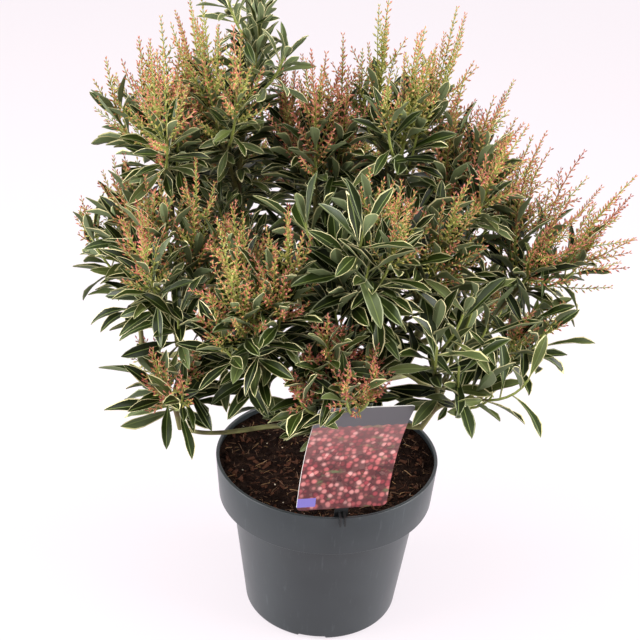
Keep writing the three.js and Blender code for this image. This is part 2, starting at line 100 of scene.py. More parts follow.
class Stream:
    """A seeded stream of numbers from 0 to 1, mixed as the part's source mixes it."""

    WORD = 0xFFFFFFFF

    def __init__(self, seed: int) -> None:
        """Starts the stream at a seed."""
        self.state = seed

    def draw(self) -> float:
        """Returns the next number of the stream."""
        self.state = (self.state + 0x6D2B79F5) & self.WORD
        mixed = ((self.state ^ (self.state >> 15)) * (1 | self.state)) & self.WORD
        again = ((mixed ^ (mixed >> 7)) * (61 | mixed)) & self.WORD
        mixed = ((mixed + again) & self.WORD) ^ mixed
        return ((mixed ^ (mixed >> 14)) & self.WORD) / 2**32

    def between(self, low: float, high: float) -> float:
        """Returns a number of the stream spread from low to high."""
        return lerp(low, high, self.draw())

    def pick(self, weights: Sequence[float]) -> int:
        """Returns an index drawn by weight."""
        mark = self.draw() * sum(weights)
        for index, weight in enumerate(weights):
            mark -= weight
            if mark < 0:
                return index
        return len(weights) - 1


def lerp(low: float, high: float, share: float) -> float:
    """Returns the value a share of the way from low to high."""
    return low + (high - low) * share


def unit(vector: np.ndarray) -> np.ndarray:
    """Returns the vector, or each row of an array of them, at length 1."""
    return vector / np.linalg.norm(vector, axis=-1, keepdims=True)


def polar(angle: float, reach: float, height: float) -> np.ndarray:
    """Returns the point at an angle in degrees, a reach from the pot's axis and a height."""
    turned = math.radians(angle)
    return np.array([reach * math.cos(turned), reach * math.sin(turned), height])


def outward_of(point: np.ndarray) -> np.ndarray:
    """Returns the level direction from the pot's axis to a point."""
    return unit(np.array([point[0], point[1], 0.0]))


@dataclass(frozen=True)
class Stations:
    """Places along a stem: points, ways forward and two sides that don't twist."""

    points: np.ndarray
    ways: np.ndarray
    sides: np.ndarray
    others: np.ndarray

    def at(self, shares: np.ndarray) -> "Stations":
        """Returns the stations at shares of the way along, on the straight lines between these."""
        last = len(self.points) - 1
        before = np.clip(np.floor(shares * last).astype(int), 0, last - 1)
        part = (shares * last - before)[:, None]
        rows = [
            rows[before] * (1 - part) + rows[before + 1] * part
            for rows in (self.points, self.ways, self.sides, self.others)
        ]
        return Stations(rows[0], unit(rows[1]), unit(rows[2]), unit(rows[3]))

    def frames(self, turns: np.ndarray, leans: np.ndarray) -> np.ndarray:
        """Works out how small things stand on the stem.

        Args:
            turns: degrees round the stem, one for each station.
            leans: degrees leant out from the stem's way, one for each station.

        Returns:
            For each station the three rows across, along and above of the thing that stands there.
        """
        around, out = np.radians(turns)[:, None], np.radians(leans)[:, None]
        radial = self.sides * np.cos(around) + self.others * np.sin(around)
        along = self.ways * np.cos(out) + radial * np.sin(out)
        above = self.ways * np.sin(out) - radial * np.cos(out)
        return np.stack([np.cross(along, above), along, above], axis=1)


@dataclass(frozen=True)
class Curve:
    """A cubic curve through four control points."""

    controls: np.ndarray

    @staticmethod
    def bend(
        start: np.ndarray, way: np.ndarray, end: np.ndarray, end_way: np.ndarray, gather: float
    ) -> "Curve":
        """Makes the curve that leaves start one way and reaches end another way.

        Args:
            start: where it starts.
            way: the direction it leaves in.
            end: where it ends.
            end_way: the direction it arrives in.
            gather: how long its handles are, as a share of the straight distance.

        Returns:
            The curve.
        """
        reach = gather * float(np.linalg.norm(end - start))
        return Curve(np.array([start, start + way * reach, end - end_way * reach, end]))

    def at(self, share: float) -> np.ndarray:
        """Returns the point at a share of the way along."""
        rest = 1 - share
        weights = np.array([rest**3, 3 * rest * rest * share, 3 * rest * share**2, share**3])
        return weights @ self.controls

    def way(self, share: float) -> np.ndarray:
        """Returns the direction forward at a share of the way along."""
        rest = 1 - share
        weights = np.array([rest * rest, 2 * rest * share, share**2])
        return unit(weights @ np.diff(self.controls, axis=0))

    def length(self, chords: int = 24) -> float:
        """Returns the length, measured over that many chords."""
        points = np.array([self.at(i / chords) for i in range(chords + 1)])
        return float(np.linalg.norm(np.diff(points, axis=0), axis=1).sum())

    def stations(self, steps: int) -> Stations:
        """Returns evenly spaced stations, with one side carried along so that it never twists."""
        side, sides = np.array([0.0, 1.0, 0.0]), []
        ways = np.array([self.way(i / steps) for i in range(steps + 1)])
        for way in ways:
            side = unit(side - way * (side @ way))
            sides.append(side)
        points = np.array([self.at(i / steps) for i in range(steps + 1)])
        return Stations(points, ways, np.array(sides), np.cross(sides, ways))


# ---------------------------------------------------------------- materials


def linear(colour: str) -> tuple[float, float, float, float]:
    """Turns an sRGB hex colour into the linear colour that a shader reads."""
    channels = [int(colour[i : i + 2], 16) / 255 for i in (1, 3, 5)]
    red, green, blue = (
        c / 12.92 if c <= 0.04045 else ((c + 0.055) / 1.055) ** 2.4 for c in channels
    )
    return (red, green, blue, 1.0)


def add_node(tree: NodeTree, kind: str, inputs: dict | None = None, **settings: object) -> Node:
    """Adds a node with its settings and links.

    Args:
        tree: the node tree that takes it.
        kind: the node's type name.
        inputs: for each socket, by name or number, a value or the output of another node.
        settings: properties of the node; stops, for a colour ramp, is a list of (place, hex colour).

    Returns:
        The new node.
    """
    node = tree.nodes.new(kind)
    for place, colour in settings.pop("stops", []):
        elements = node.color_ramp.elements
        spare = [e for e in elements if e.position == place]
        stop = spare[0] if spare else elements.new(place)
        stop.color = linear(colour)
    for name, value in settings.items():
        setattr(node, name, value)
    for socket, value in (inputs or {}).items():
        if isinstance(value, NodeSocket):
            tree.links.new(value, node.inputs[socket])
        else:
            node.inputs[socket].default_value = value
    return node


@dataclass(frozen=True)
class Finish:
    """A plain living or moulded surface of one base colour, as pieces of many small things need."""

    name: str
    colour: str
    roughness: float = 0.5
    coat: float = 0.0
    ior: float = 1.45
    glow: float = 0.0

    def make(self) -> Material:
        """Returns the material, made once and shared after that."""
        if self.name in bpy.data.materials:
            return bpy.data.materials[self.name]
        material = bpy.data.materials.new(self.name)
        material.use_nodes = True
        tree = material.node_tree
        tree.nodes.clear()
        shader = add_node(tree, "ShaderNodeBsdfPrincipled", {
            "Base Color": linear(self.colour), "Roughness": self.roughness, "IOR": self.ior,
            "Coat Weight": self.coat, "Coat Roughness": 0.3,
            "Emission Color": linear(self.colour), "Emission Strength": self.glow,
        })
        add_node(tree, "ShaderNodeOutputMaterial", {"Surface": shader.outputs["BSDF"]})
        for socket, output in self.pattern(tree).items():
            tree.links.new(output, shader.inputs[socket])
        return material

    def pattern(self, tree: NodeTree) -> dict[str, NodeSocket]:
        """Adds the surface's pattern and returns what feeds the shader's sockets; a plain finish has none."""
        return {}


@dataclass(frozen=True)
class MouldedPlastic(Finish):
    """Injection-moulded polypropylene: an even dark grey, a matte skin and long faint handling scuffs."""

    scuff: str = "#454b4e"
    scuff_length: float = 30.0  # mm along a scuff
    scuffs_across: float = 8.0  # how many lie side by side in that length
    clouds: float = 30.0  # how many patches of clearer skin lie along a metre
    skin_grain: float = 0.35  # mm between the bumps of the moulded skin
    coarser: float = 4.0  # how many times wider they are drawn, so that they show
    clearest: float = 0.07  # how much smoother the clearest skin is
    dullest: float = 0.09  # how much rougher the dullest is

    def pattern(self, tree: NodeTree) -> dict[str, NodeSocket]:
        """Adds the scuffs, the cloudiness and the moulded skin."""
        place = add_node(tree, "ShaderNodeTexCoord").outputs["Object"]
        streak = add_node(tree, "ShaderNodeMapping", {
            "Vector": place, "Scale": (1.0, 1.0, 0.12), "Rotation": (0.2, 0.25, 0.0),
        })
        scuffs = add_node(tree, "ShaderNodeTexNoise", {
            "Vector": streak.outputs["Vector"], "Scale": self.scuffs_across / (self.scuff_length * MM),
            "Detail": 4.0, "Roughness": 0.65,
        })
        marks = add_node(tree, "ShaderNodeMapRange", {
            "Value": scuffs.outputs["Fac"], "From Min": 0.6, "From Max": 0.82, "To Max": 0.55,
        })
        clouds = add_node(tree, "ShaderNodeTexNoise", {
            "Vector": place, "Scale": self.clouds, "Detail": 6.0,
        })
        cloudy = add_node(tree, "ShaderNodeMapRange", {"Value": clouds.outputs["Fac"], "To Max": 0.3})
        total = add_node(tree, "ShaderNodeMath", {
            0: marks.outputs[0], 1: cloudy.outputs[0],
        }, operation="ADD")
        mix = add_node(tree, "ShaderNodeMix", {
            0: total.outputs[0], 6: linear(self.colour), 7: linear(self.scuff),
        }, data_type="RGBA")
        rough = add_node(tree, "ShaderNodeMapRange", {
            "Value": clouds.outputs["Fac"], "To Min": self.roughness - self.clearest,
            "To Max": self.roughness + self.dullest,
        })
        skin = add_node(tree, "ShaderNodeTexNoise", {
            "Vector": place, "Scale": 1 / (self.skin_grain * self.coarser * MM), "Detail": 2.0,
        })
        bump = add_node(tree, "ShaderNodeBump", {
            "Strength": 0.08, "Distance": 0.0002, "Height": skin.outputs["Fac"],
        })
        return {
            "Base Color": mix.outputs[2], "Roughness": rough.outputs[0], "Normal": bump.outputs["Normal"],
        }


@dataclass(frozen=True)
class StringyBark(Finish):
    """Living pieris bark: grey-brown strings over rust-brown on old wood, green-brown on the young."""

    groove: str = "#3b2a1e"
    ridge: str = "#8a7a66"
    string_width: float = 1.1  # mm across one string of bark
    stretch: float = 0.16  # how much slower the strings change along the limb
    blotches: float = 0.06  # of tone, in a mm

    def pattern(self, tree: NodeTree) -> dict[str, NodeSocket]:
        """Adds long strings that follow the limb, read from the limb's own straightened coordinates."""
        place = add_node(tree, "ShaderNodeAttribute", attribute_name="straight").outputs["Vector"]
        stretched = add_node(tree, "ShaderNodeMapping", {
            "Vector": place, "Scale": (1.0, 1.0, self.stretch),
        })
        strings = add_node(tree, "ShaderNodeTexNoise", {
            "Vector": stretched.outputs["Vector"], "Scale": 0.5 / self.string_width, "Detail": 5.0,
            "Roughness": 0.6,
        })
        blotches = add_node(tree, "ShaderNodeTexNoise", {
            "Vector": place, "Scale": self.blotches, "Detail": 2.0,
        })
        tone = add_node(tree, "ShaderNodeMix", {
            0: blotches.outputs["Fac"], 2: strings.outputs["Fac"], 3: blotches.outputs["Fac"],
        }, data_type="FLOAT")
        tones = add_node(tree, "ShaderNodeMapRange", {
            "Value": tone.outputs[0], "From Min": 0.34, "From Max": 0.66,
        })
        ramp = add_node(tree, "ShaderNodeValToRGB", {"Fac": tones.outputs[0]}, stops=[
            (0.0, self.groove), (1.0, self.ridge), (0.5, self.colour),
        ])
        bump = add_node(tree, "ShaderNodeBump", {
            "Strength": 0.6, "Distance": 0.0006, "Height": strings.outputs["Fac"],
        })
        return {"Base Color": ramp.outputs["Color"], "Normal": bump.outputs["Normal"]}


@dataclass(frozen=True)
class DampPeat(Finish):
    """Damp milled peat: nearly black crumbs with brown flecks of bark and root."""

    fleck: str = "#32221a"
    crumb: float = 2.2  # mm across a crumb
    patch: float = 9.0  # mm across a patch of flecks

    def pattern(self, tree: NodeTree) -> dict[str, NodeSocket]:
        """Adds the crumbs, their brown flecks and their relief."""
        place = add_node(tree, "ShaderNodeTexCoord").outputs["Object"]
        crumbs = add_node(tree, "ShaderNodeTexVoronoi", {"Vector": place, "Scale": 1 / (self.crumb * MM)})
        clouds = add_node(tree, "ShaderNodeTexNoise", {
            "Vector": place, "Scale": 1 / (self.patch * MM), "Detail": 6.0, "Roughness": 0.7,
        })
        fleck = add_node(tree, "ShaderNodeMapRange", {
            "Value": clouds.outputs["Fac"], "From Min": 0.42, "From Max": 0.78,
        })
        mix = add_node(tree, "ShaderNodeMix", {
            0: fleck.outputs[0], 6: linear(self.colour), 7: linear(self.fleck),
        }, data_type="RGBA")
        height = add_node(tree, "ShaderNodeMath", {
            0: crumbs.outputs["Distance"], 1: clouds.outputs["Fac"],
        }, operation="SUBTRACT")
        bump = add_node(tree, "ShaderNodeBump", {
            "Strength": 0.9, "Distance": 0.0015, "Height": height.outputs[0],
        })
        return {"Base Color": mix.outputs[2], "Normal": bump.outputs["Normal"]}


@dataclass(frozen=True)
class PrintedCard(Finish):
    """Gloss-laminated card: a grey head band over a field of round pink blossoms, with a violet patch."""

    band: str = "#525054"
    patch: str = "#6b62a8"
    leaf: str = "#5d7048"
    shade: str = "#32100f"
    darker_foot: str = "#3c1a20"
    # A pale painted reflection, laid over the upper part of the print.
    painted_reflection: str = "#b88683"
    across: float = 80.0  # mm of print across
    blossom: float = 4.8  # mm across a blossom
    # The rest is in shares of the print's width, as its map is.
    band_foot: float = 1.17
    wave: tuple[float, float] = (62.0, 0.008)  # radians across, and the rise, of the band's waved edge
    patch_box: tuple[float, float, float] = (0.2, 0.04, 0.15)  # its right side, foot and top

    def pattern(self, tree: NodeTree) -> dict[str, NodeSocket]:
        """Lays printed shade, leaves, a darker foot, a painted reflection, the band and the patch on the
        blossoms, in turn.
        """
        place = add_node(tree, "ShaderNodeUVMap", uv_map="print").outputs["UV"]
        split = add_node(tree, "ShaderNodeSeparateXYZ", {0: place})
        across, up = split.outputs["X"], split.outputs["Y"]
        blossoms = add_node(tree, "ShaderNodeTexVoronoi", {
            "Vector": place, "Scale": self.across / self.blossom, "Randomness": 0.85,
        })
        tone = add_node(tree, "ShaderNodeSeparateColor", {0: blossoms.outputs["Color"]})
        petals = add_node(tree, "ShaderNodeValToRGB", {"Fac": tone.outputs[0]}, stops=[
            (0.0, "#5a161c"), (1.0, "#dea29b"), (0.25, "#9e3a42"), (0.65, "#cb706d"),
        ])
        slanted = add_node(tree, "ShaderNodeMapping", {
            "Vector": place, "Rotation": (0.0, 0.0, 0.7), "Scale": (2.4, 6.0, 1.0),
        })
        drift = add_node(tree, "ShaderNodeTexNoise", {
            "Vector": slanted.outputs["Vector"], "Scale": 1.3, "Detail": 4.0, "Roughness": 0.6,
        })
        layers = []
        for value, (low, high), (least, most), over in (
            (blossoms.outputs["Distance"], (0.3, 0.6), (0.0, 0.85), self.shade),
            (drift.outputs["Fac"], (0.57, 0.66), (0.0, 0.75), self.leaf),
            # the print grows darker towards its foot
            (up, (0.0, 0.5), (0.45, 0.0), self.darker_foot),
            # painted reflection: paler towards the top of the card
            (up, (0.5, 1.1), (0.0, 0.28), self.painted_reflection),
        ):
            share = add_node(tree, "ShaderNodeMapRange", {
                "Value": value, "From Min": low, "From Max": high, "To Min": least, "To Max": most,
            })
            layers.append((share.outputs[0], over))
        edge = across
        for operation, second in (
            ("MULTIPLY", self.wave[0]), ("SINE", 0.0), ("MULTIPLY", self.wave[1]), ("ADD", up),
            ("GREATER_THAN", self.band_foot),
        ):
            edge = add_node(tree, "ShaderNodeMath", {0: edge, 1: second}, operation=operation).outputs[0]
        layers.append((edge, self.band))
        right, foot, top = self.patch_box
        inside, *others = [
            add_node(tree, "ShaderNodeMath", {0: value, 1: limit}, operation=test).outputs[0]
            for value, test, limit in (
                (across, "LESS_THAN", right), (up, "LESS_THAN", top), (up, "GREATER_THAN", foot),
            )
        ]
        for other in others:
            inside = add_node(tree, "ShaderNodeMath", {0: inside, 1: other}, operation="MULTIPLY").outputs[0]
        layers.append((inside, self.patch))
        colour = petals.outputs["Color"]
        for share, over in layers:
            mix = add_node(tree, "ShaderNodeMix", {0: share, 6: colour, 7: linear(over)}, data_type="RGBA")
            colour = mix.outputs[2]
        return {"Base Color": colour}


def family(kind: str, roughness: float, ior: float = 1.45, **colours: str) -> tuple[Finish, ...]:
    """Returns plain finishes that differ in their colour only."""
    return tuple(Finish(f"{kind}_{name}", tint, roughness, ior=ior) for name, tint in colours.items())


@dataclass(frozen=True)
class Finishes:
    """Every finish of the plant and its pot."""

    pot: Finish = MouldedPlastic("moulded_polypropylene", "#191f22", roughness=0.35, ior=1.5)
    peat: Finish = DampPeat("damp_milled_peat", "#0f0603", roughness=1, ior=1.15)
    # Loose litter on the peat: torn bark, dry rootlets and a few pale crumbs of grit.
    litter: tuple[Finish, ...] = (
        Finish("peat_clod", "#150b07", roughness=1, ior=1.15),
        Finish("bark_chip", "#402416", roughness=0.9, ior=1.25),
        Finish("root_fibre", "#5c4029", roughness=0.8),
        Finish("dry_straw", "#8c6b45", roughness=0.75),
        Finish("pale_grit", "#b9ad98", roughness=0.7),
    )
    card: Finish = PrintedCard("laminated_print", "#a53f4f", roughness=0.38, coat=0.05)
    card_edge: Finish = Finish("cut_card_edge", "#dedcd8", roughness=0.5)
    # The stake and its prongs over the rim are near black.
    stake: Finish = Finish("black_polystyrene", "#131415", roughness=0.45)
    old_bark: Finish = StringyBark("stringy_bark", "#6a5442", roughness=0.85)
    young_bark: Finish = StringyBark(
        "young_smooth_bark", "#6d6b3d", roughness=0.65, groove="#4c4428", ridge="#93935a", string_width=1.6
    )
    # Twigs of the year from their woody foot to the green tip.
    twigs: tuple[Finish, ...] = (
        Finish("twig_brown", "#5f5132", roughness=0.7),
        Finish("twig_olive", "#676236", roughness=0.6),
        Finish("twig_green", "#808841", roughness=0.55),
    )
    # A pieris leaf has a waxed skin: deep green that shines, a cream margin and a dull underside.
    margins: tuple[Finish, ...] = family(
        "leaf_margin", 0.45, 1.3, cream="#d7ce9d", straw="#b0ab7c", grey="#7f8462"
    )
    blades: tuple[Finish, ...] = (
        Finish("leaf_deep_green", "#182009", roughness=0.33, ior=1.23),
        Finish("leaf_green", "#232e0d", roughness=0.35, ior=1.24),
        # This grey-green copy of the blade is painted sheen, for the shine of the waxed skin.
        Finish("leaf_grey_green", "#434d2a", roughness=0.4, ior=1.3),
        Finish("leaf_yellow_green", "#4a5227", roughness=0.42, ior=1.3),
    )
    rib: Finish = Finish("leaf_rib", "#5f6a38", roughness=0.45, ior=1.3)
    underside: Finish = Finish("leaf_underside", "#5d6844", roughness=0.6)
    # Closed buds, waxy and matt, from green to plum, and the stalks that carry them.
    buds: tuple[Finish, ...] = family(
        "bud", 0.6, green="#83863c", straw="#a3944e", peach="#b17a50", coral="#a95643", rose="#b0675c",
        plum="#723e3a",
    )
    stalks: tuple[Finish, ...] = family("stalk", 0.55, green="#7d8438", russet="#896340")


FINISHES = Finishes()


# ---------------------------------------------------------------- meshes


@dataclass(frozen=True)
class Shape:
    """A small closed form as arrays, to be copied many times; each face carries the number of its part."""

    points: np.ndarray
    corners: np.ndarray
    sizes: np.ndarray
    parts: np.ndarray

    @staticmethod
    def of(mesh: BMesh) -> "Shape":
        """Reads a shape from a mesh whose material indices are its part numbers, and frees the mesh."""
        mesh.verts.index_update()
        points = np.array([vert.co[:] for vert in mesh.verts])
        corners = np.array([vert.index for face in mesh.faces for vert in face.verts])
        sizes = np.array([len(face.verts) for face in mesh.faces])
        parts = np.array([face.material_index for face in mesh.faces])
        mesh.free()
        return Shape(points, corners, sizes, parts)


class Joined:
    """Many copies of small shapes, joined into one piece."""

    def __init__(self) -> None:
        """Starts with nothing."""
        self.points: list[np.ndarray] = []
        self.corners: list[np.ndarray] = []
        self.sizes: list[np.ndarray] = []
        self.slots: list[np.ndarray] = []
        self.count = 0

    def add(self, shape: Shape, points: np.ndarray, slots: np.ndarray) -> None:
        """Adds copies of a shape.

        Args:
            shape: the shape, which gives the faces.
            points: where the points of each copy are, as copies by points by 3.
            slots: the material slot of each face of each copy, as copies by faces.
        """
        copies, size = points.shape[:2]
        offsets = self.count + size * np.arange(copies)[:, None]
        self.points.append(points.reshape(-1, 3))
        self.corners.append((shape.corners[None, :] + offsets).ravel())
        self.sizes.append(np.tile(shape.sizes, copies))
        self.slots.append(slots.ravel())
        self.count += copies * size

    def build(self, name: str, finishes: Iterable[Finish], crease: float) -> Object:
        """Writes the piece.

        Args:
            name: the piece's name.
            finishes: the finish of each material slot.
            crease: the angle in degrees past which an edge stays sharp.

        Returns:
            The object, at the origin with its place in its mesh.
        """
        mesh = bpy.data.meshes.new(name)
        corners, sizes = np.concatenate(self.corners), np.concatenate(self.sizes)
        mesh.vertices.add(self.count)
        mesh.vertices.foreach_set("co", (np.concatenate(self.points) * MM).ravel())
        mesh.loops.add(len(corners))
        mesh.loops.foreach_set("vertex_index", corners)
        mesh.polygons.add(len(sizes))
        mesh.polygons.foreach_set("loop_start", np.cumsum(sizes) - sizes)
        mesh.polygons.foreach_set("material_index", np.concatenate(self.slots))
        mesh.update(calc_edges=True)
        return finished(mesh, finishes, crease)


def placed(name: str, data: ID) -> Object:
    """Makes the object of some data and links it to the scene."""
    made = bpy.data.objects.new(name, data)
    bpy.context.scene.collection.objects.link(made)
    return made


def finished(mesh: Mesh, finishes: Iterable[Finish], crease: float) -> Object:
    """Shades a mesh smooth up to a crease angle, gives it its materials and makes its object.

    Args:
        mesh: the mesh, in metres.
        finishes: the finish of each material slot.
        crease: the angle in degrees past which an edge stays sharp.

    Returns:
        The object, linked to the scene.
    """
    for finish in finishes:
        mesh.materials.append(finish.make())
    mesh.shade_smooth()
    mesh.set_sharp_from_angle(angle=math.radians(crease))
    return placed(mesh.name, mesh)


def write_mesh(bm: BMesh, name: str, finishes: Iterable[Finish], crease: float = 40) -> Object:
    """Writes a mesh modelled in millimetres as a piece, and frees it.

    Args:
        bm: the modelled mesh.
        name: the piece's name.
        finishes: the finish of each material slot.
        crease: the angle in degrees past which an edge stays sharp.

    Returns:
        The object.
    """
    bmesh.ops.scale(bm, vec=Vector((MM, MM, MM)), verts=bm.verts)
    mesh = bpy.data.meshes.new(name)
    bm.to_mesh(mesh)
    bm.free()
    return finished(mesh, finishes, crease)


def install(piece: Object, node: str) -> None:
    """Lets a piece ride on the part's one body, in place of a node."""
    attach(piece, "root")
    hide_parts(node)
    log.info("%s: %d faces", piece.name, len(piece.data.polygons))


def carve(piece: Object, cutters: Iterable[Object]) -> None:
    """Cuts other closed pieces out of a piece for good, and removes them."""
    for cutter in cutters:
        cut = piece.modifiers.new("cut", "BOOLEAN")
        cut.operation, cut.solver, cut.object = "DIFFERENCE", "EXACT", cutter
        view = bpy.context.evaluated_depsgraph_get()
        carved = bpy.data.meshes.new_from_object(piece.evaluated_get(view))
        piece.modifiers.clear()
        worn, piece.data = piece.data, carved
        name = worn.name
        bpy.data.meshes.remove(worn)
        piece.data.name = name
        bpy.data.objects.remove(cutter)


def block(width: float, depth: float, height: float) -> BMesh:
    """Returns a block about the origin."""
    bm = bmesh.new()
    bmesh.ops.create_cube(bm, size=1)
    bmesh.ops.scale(bm, vec=(width, depth, height), verts=bm.verts)
    return bm


def ringed_rod(sides: int, rings: int) -> BMesh:
    """Returns a closed rod of radius 1 from height -0.5 to 0.5, with that many sides and rings of faces."""
    bm = bmesh.new()
    bmesh.ops.create_cone(bm, cap_ends=True, segments=sides, radius1=1, radius2=1, depth=1)
    if rings > 1:
        uprights = [e for e in bm.edges if abs(e.verts[0].co.z - e.verts[1].co.z) > 0.5]
        bmesh.ops.subdivide_edges(bm, edges=uprights, cuts=rings - 1, use_grid_fill=True)
    return bm


def spun(line: Sequence[tuple[float, float]], steps: int) -> BMesh:
    """Returns the closed turned form of a line of (radius, height), in that many steps round."""
    bm = bmesh.new()
    verts = [bm.verts.new((radius, 0, height)) for radius, height in line]
    edges = [bm.edges.new(pair) for pair in zip(verts, verts[1:])]
    bmesh.ops.spin(
        bm, geom=[*verts, *edges], cent=(0, 0, 0), axis=(0, 0, 1), dvec=(0, 0, 0), angle=2 * math.pi,
        steps=steps, use_merge=True,
    )
    bmesh.ops.remove_doubles(bm, verts=bm.verts, dist=0.001)
    bmesh.ops.recalc_face_normals(bm, faces=bm.faces)
    return bm


def round_off(
    bm: BMesh, geom: Sequence, offset: float, segments: int, affect: str = "EDGES", clamp: bool = False
) -> None:
    """Rounds edges or corners of a mesh.

    Args:
        bm: the mesh.
        geom: the edges or vertices.
        offset: how far back the rounding starts.
        segments: how many faces round it has.
        affect: whether it rounds EDGES or VERTICES.
        clamp: whether neighbours keep out of each other.
    """
    bmesh.ops.bevel(
        bm, geom=geom, offset=offset, offset_type="OFFSET", affect=affect, segments=segments, profile=0.5,
        material=-1, clamp_overlap=clamp,
    )


@lru_cache(maxsize=None)
def tube(sides: int, rings: int) -> Shape:
    """Returns a ringed rod as a shape, built once."""
    return Shape.of(ringed_rod(sides, rings))


def swept(shape: Shape, stations: Stations, radii: np.ndarray) -> np.ndarray:
    """Lays a tube along stations, one for each of its ends and joints.

    Args:
        shape: the tube.
        stations: as many stations as the tube has rings of points.
        radii: the tube's radius at each station.

    Returns:
        The tube's points.
    """
    steps = len(stations.points) - 1
    ring = np.rint((shape.points[:, 2] + 0.5) * steps).astype(int)
    across = stations.sides[ring] * (shape.points[:, 0] * radii[ring])[:, None]
    deep = stations.others[ring] * (shape.points[:, 1] * radii[ring])[:, None]
    return stations.points[ring] + across - deep


# ---------------------------------------------------------------- the masses and their spaces


@dataclass(frozen=True)
class MassRow:
    """One mass of foliage: where it leaves its limb, the middle of its tips, its shoots and its tints."""

    name: str
    parent: str
    along: float
    angle: float
    reach: float
    height: float
    shoots: int
    spread: float
    turn: float
    lean: float
    fall: float
    seed: int
    warmth: float = 0.5
    leafy: tuple[int, ...] = ()  # which of its shoots end in leaves
    rise: float = 8  # how far those go past their tips
    # Pale leaves are the young yellow-green ones and grey-green ones that are painted sheen.
    light: float = 0.3  # how many of its leaves are pale
    fullness: float = 1  # how many leaves its shoots carry
    plume: float = 1  # how long its racemes are
    leaf: float = 1  # how long its leaves are
    low_twigs: int = 3  # how many leafy twigs its bough carries
    girth: float = 1  # how thick its bough is
    bloom: float = 1  # how far up its shoots the first racemes take over
    flare: float = 1  # how far its racemes lean out


MASSES = (
    MassRow(
        "leader", "limb_centre", 1, 172, 92, 500, 4, 26, -30, 0.1, 1.2, 11, 0.4, (0, 1), 38, 1,
        fullness=1.55, plume=1.2, leaf=0.7,
    ),
    MassRow("upper_left", "limb_left", 1, 178, 141, 462, 3, 27, -100, 0.02, 0, 12, 0.45, low_twigs=1),
    MassRow(
        "left", "limb_left", 0.8, 178, 177, 392, 2, 22, -60, 0.08, 1, 13, light=0.5, plume=0.7, low_twigs=0,
    ),
    MassRow(
        "left_front", "limb_left", 0.62, 207, 146, 376, 2, 20, 215, 0.08, 0.2, 14, light=0.45, plume=0.85,
    ),
    MassRow("crown_middle", "limb_centre", 0.9, 150, 28, 466, 3, 26, -85, 0.1, 0, 15, 0.6, light=0.1),
    MassRow(
        "crown_right", "limb_centre", 0.74, 20, 54, 487, 3, 26, -90, 0.15, 0.2, 36, 0.3,
        light=0.2, fullness=0.85, plume=0.96, flare=0.55,
    ),
    MassRow(
        "right_upper", "limb_right", 1, 2, 104, 450, 3, 30, 66, 0.3, 0.2, 17, 0.6,
        fullness=0.8, plume=0.85, bloom=0.8, low_twigs=2,
    ),
    MassRow(
        "far_right", "limb_right", 0.86, 2, 168, 380, 3, 26, -90, 0.75, 0.8, 18, 0.6,
        light=0.5, fullness=0.55, plume=1.45, bloom=0.68, low_twigs=1,
    ),
    MassRow(
        "right_lower", "limb_right", 0.66, -12, 165, 322, 2, 20, -120, 0.7, 0.3, 19, 0.55, (1,), -24,
        light=0.5, fullness=0.4, plume=0.5, bloom=0.8, low_twigs=1, leaf=1.1,
    ),
    MassRow(
        "right_front", "limb_front", 0.8, -38, 128, 322, 3, 24, -40, 0.5, 1.1, 20, 0.5, (0, 1, 2), -8,
        light=0.7, fullness=0.36, low_twigs=0, leaf=1.12,
    ),
    MassRow(
        "middle_right", "limb_right", 0.52, -38, 80, 392, 2, 20, -20, 0.3, 0, 21, 0.45, (1,),
        light=0, plume=0.85, leaf=1.1,
    ),
    MassRow(
        "front", "limb_front", 1, -79, 86, 405, 2, 18, 20, 0.2, 0, 22, 0.3, (1,), -20,
        light=0, plume=0.8, leaf=1.1,
    ),
    MassRow(
        "front_left", "limb_front", 0.9, -121, 120, 373, 3, 24, 0, 0.25, 0.4, 23, 0.45,
        light=0.15, plume=0.85, low_twigs=1,
    ),
    MassRow(
        "low_front", "limb_front", 0.62, -86, 108, 312, 3, 27, 200, 0.5, 1, 24, 0.7,
        light=0.5, fullness=0.85, plume=0.6, low_twigs=1,
    ),
    MassRow(
        "low_left", "main_stem", 0.6, -148, 152, 288, 3, 27, -100, 0.2, 0.3, 25, 0.6,
        light=0.2, fullness=0.6, plume=0.55, low_twigs=0, girth=0.7,
    ),
    MassRow("back_left", "limb_back", 1, 138, 142, 388, 3, 27, 80, 0.3, 0.5, 26),
    MassRow("back_middle", "limb_back", 0.88, 92, 112, 402, 3, 27, 30, 0.25, 0.5, 27),
    MassRow(
        "back_right", "limb_back", 0.76, 45, 148, 380, 3, 27, 0, 0.35, 0.5, 28,
        fullness=0.65, plume=0.8, low_twigs=1,
    ),
    MassRow("low_back_left", "limb_back", 0.62, 128, 148, 285, 3, 25, 90, 0.5, 0.5, 29, low_twigs=1),
    MassRow(
        "low_back", "limb_back", 0.5, 82, 142, 292, 2, 24, 60, 0.5, 0.5, 30, fullness=0.8, low_twigs=1,
    ),
    MassRow(
        "low_right", "limb_right", 0.38, 30, 148, 292, 2, 24, 0, 0.55, 0.4, 31,
        fullness=0.35, low_twigs=0, bloom=0.8,
    ),
)


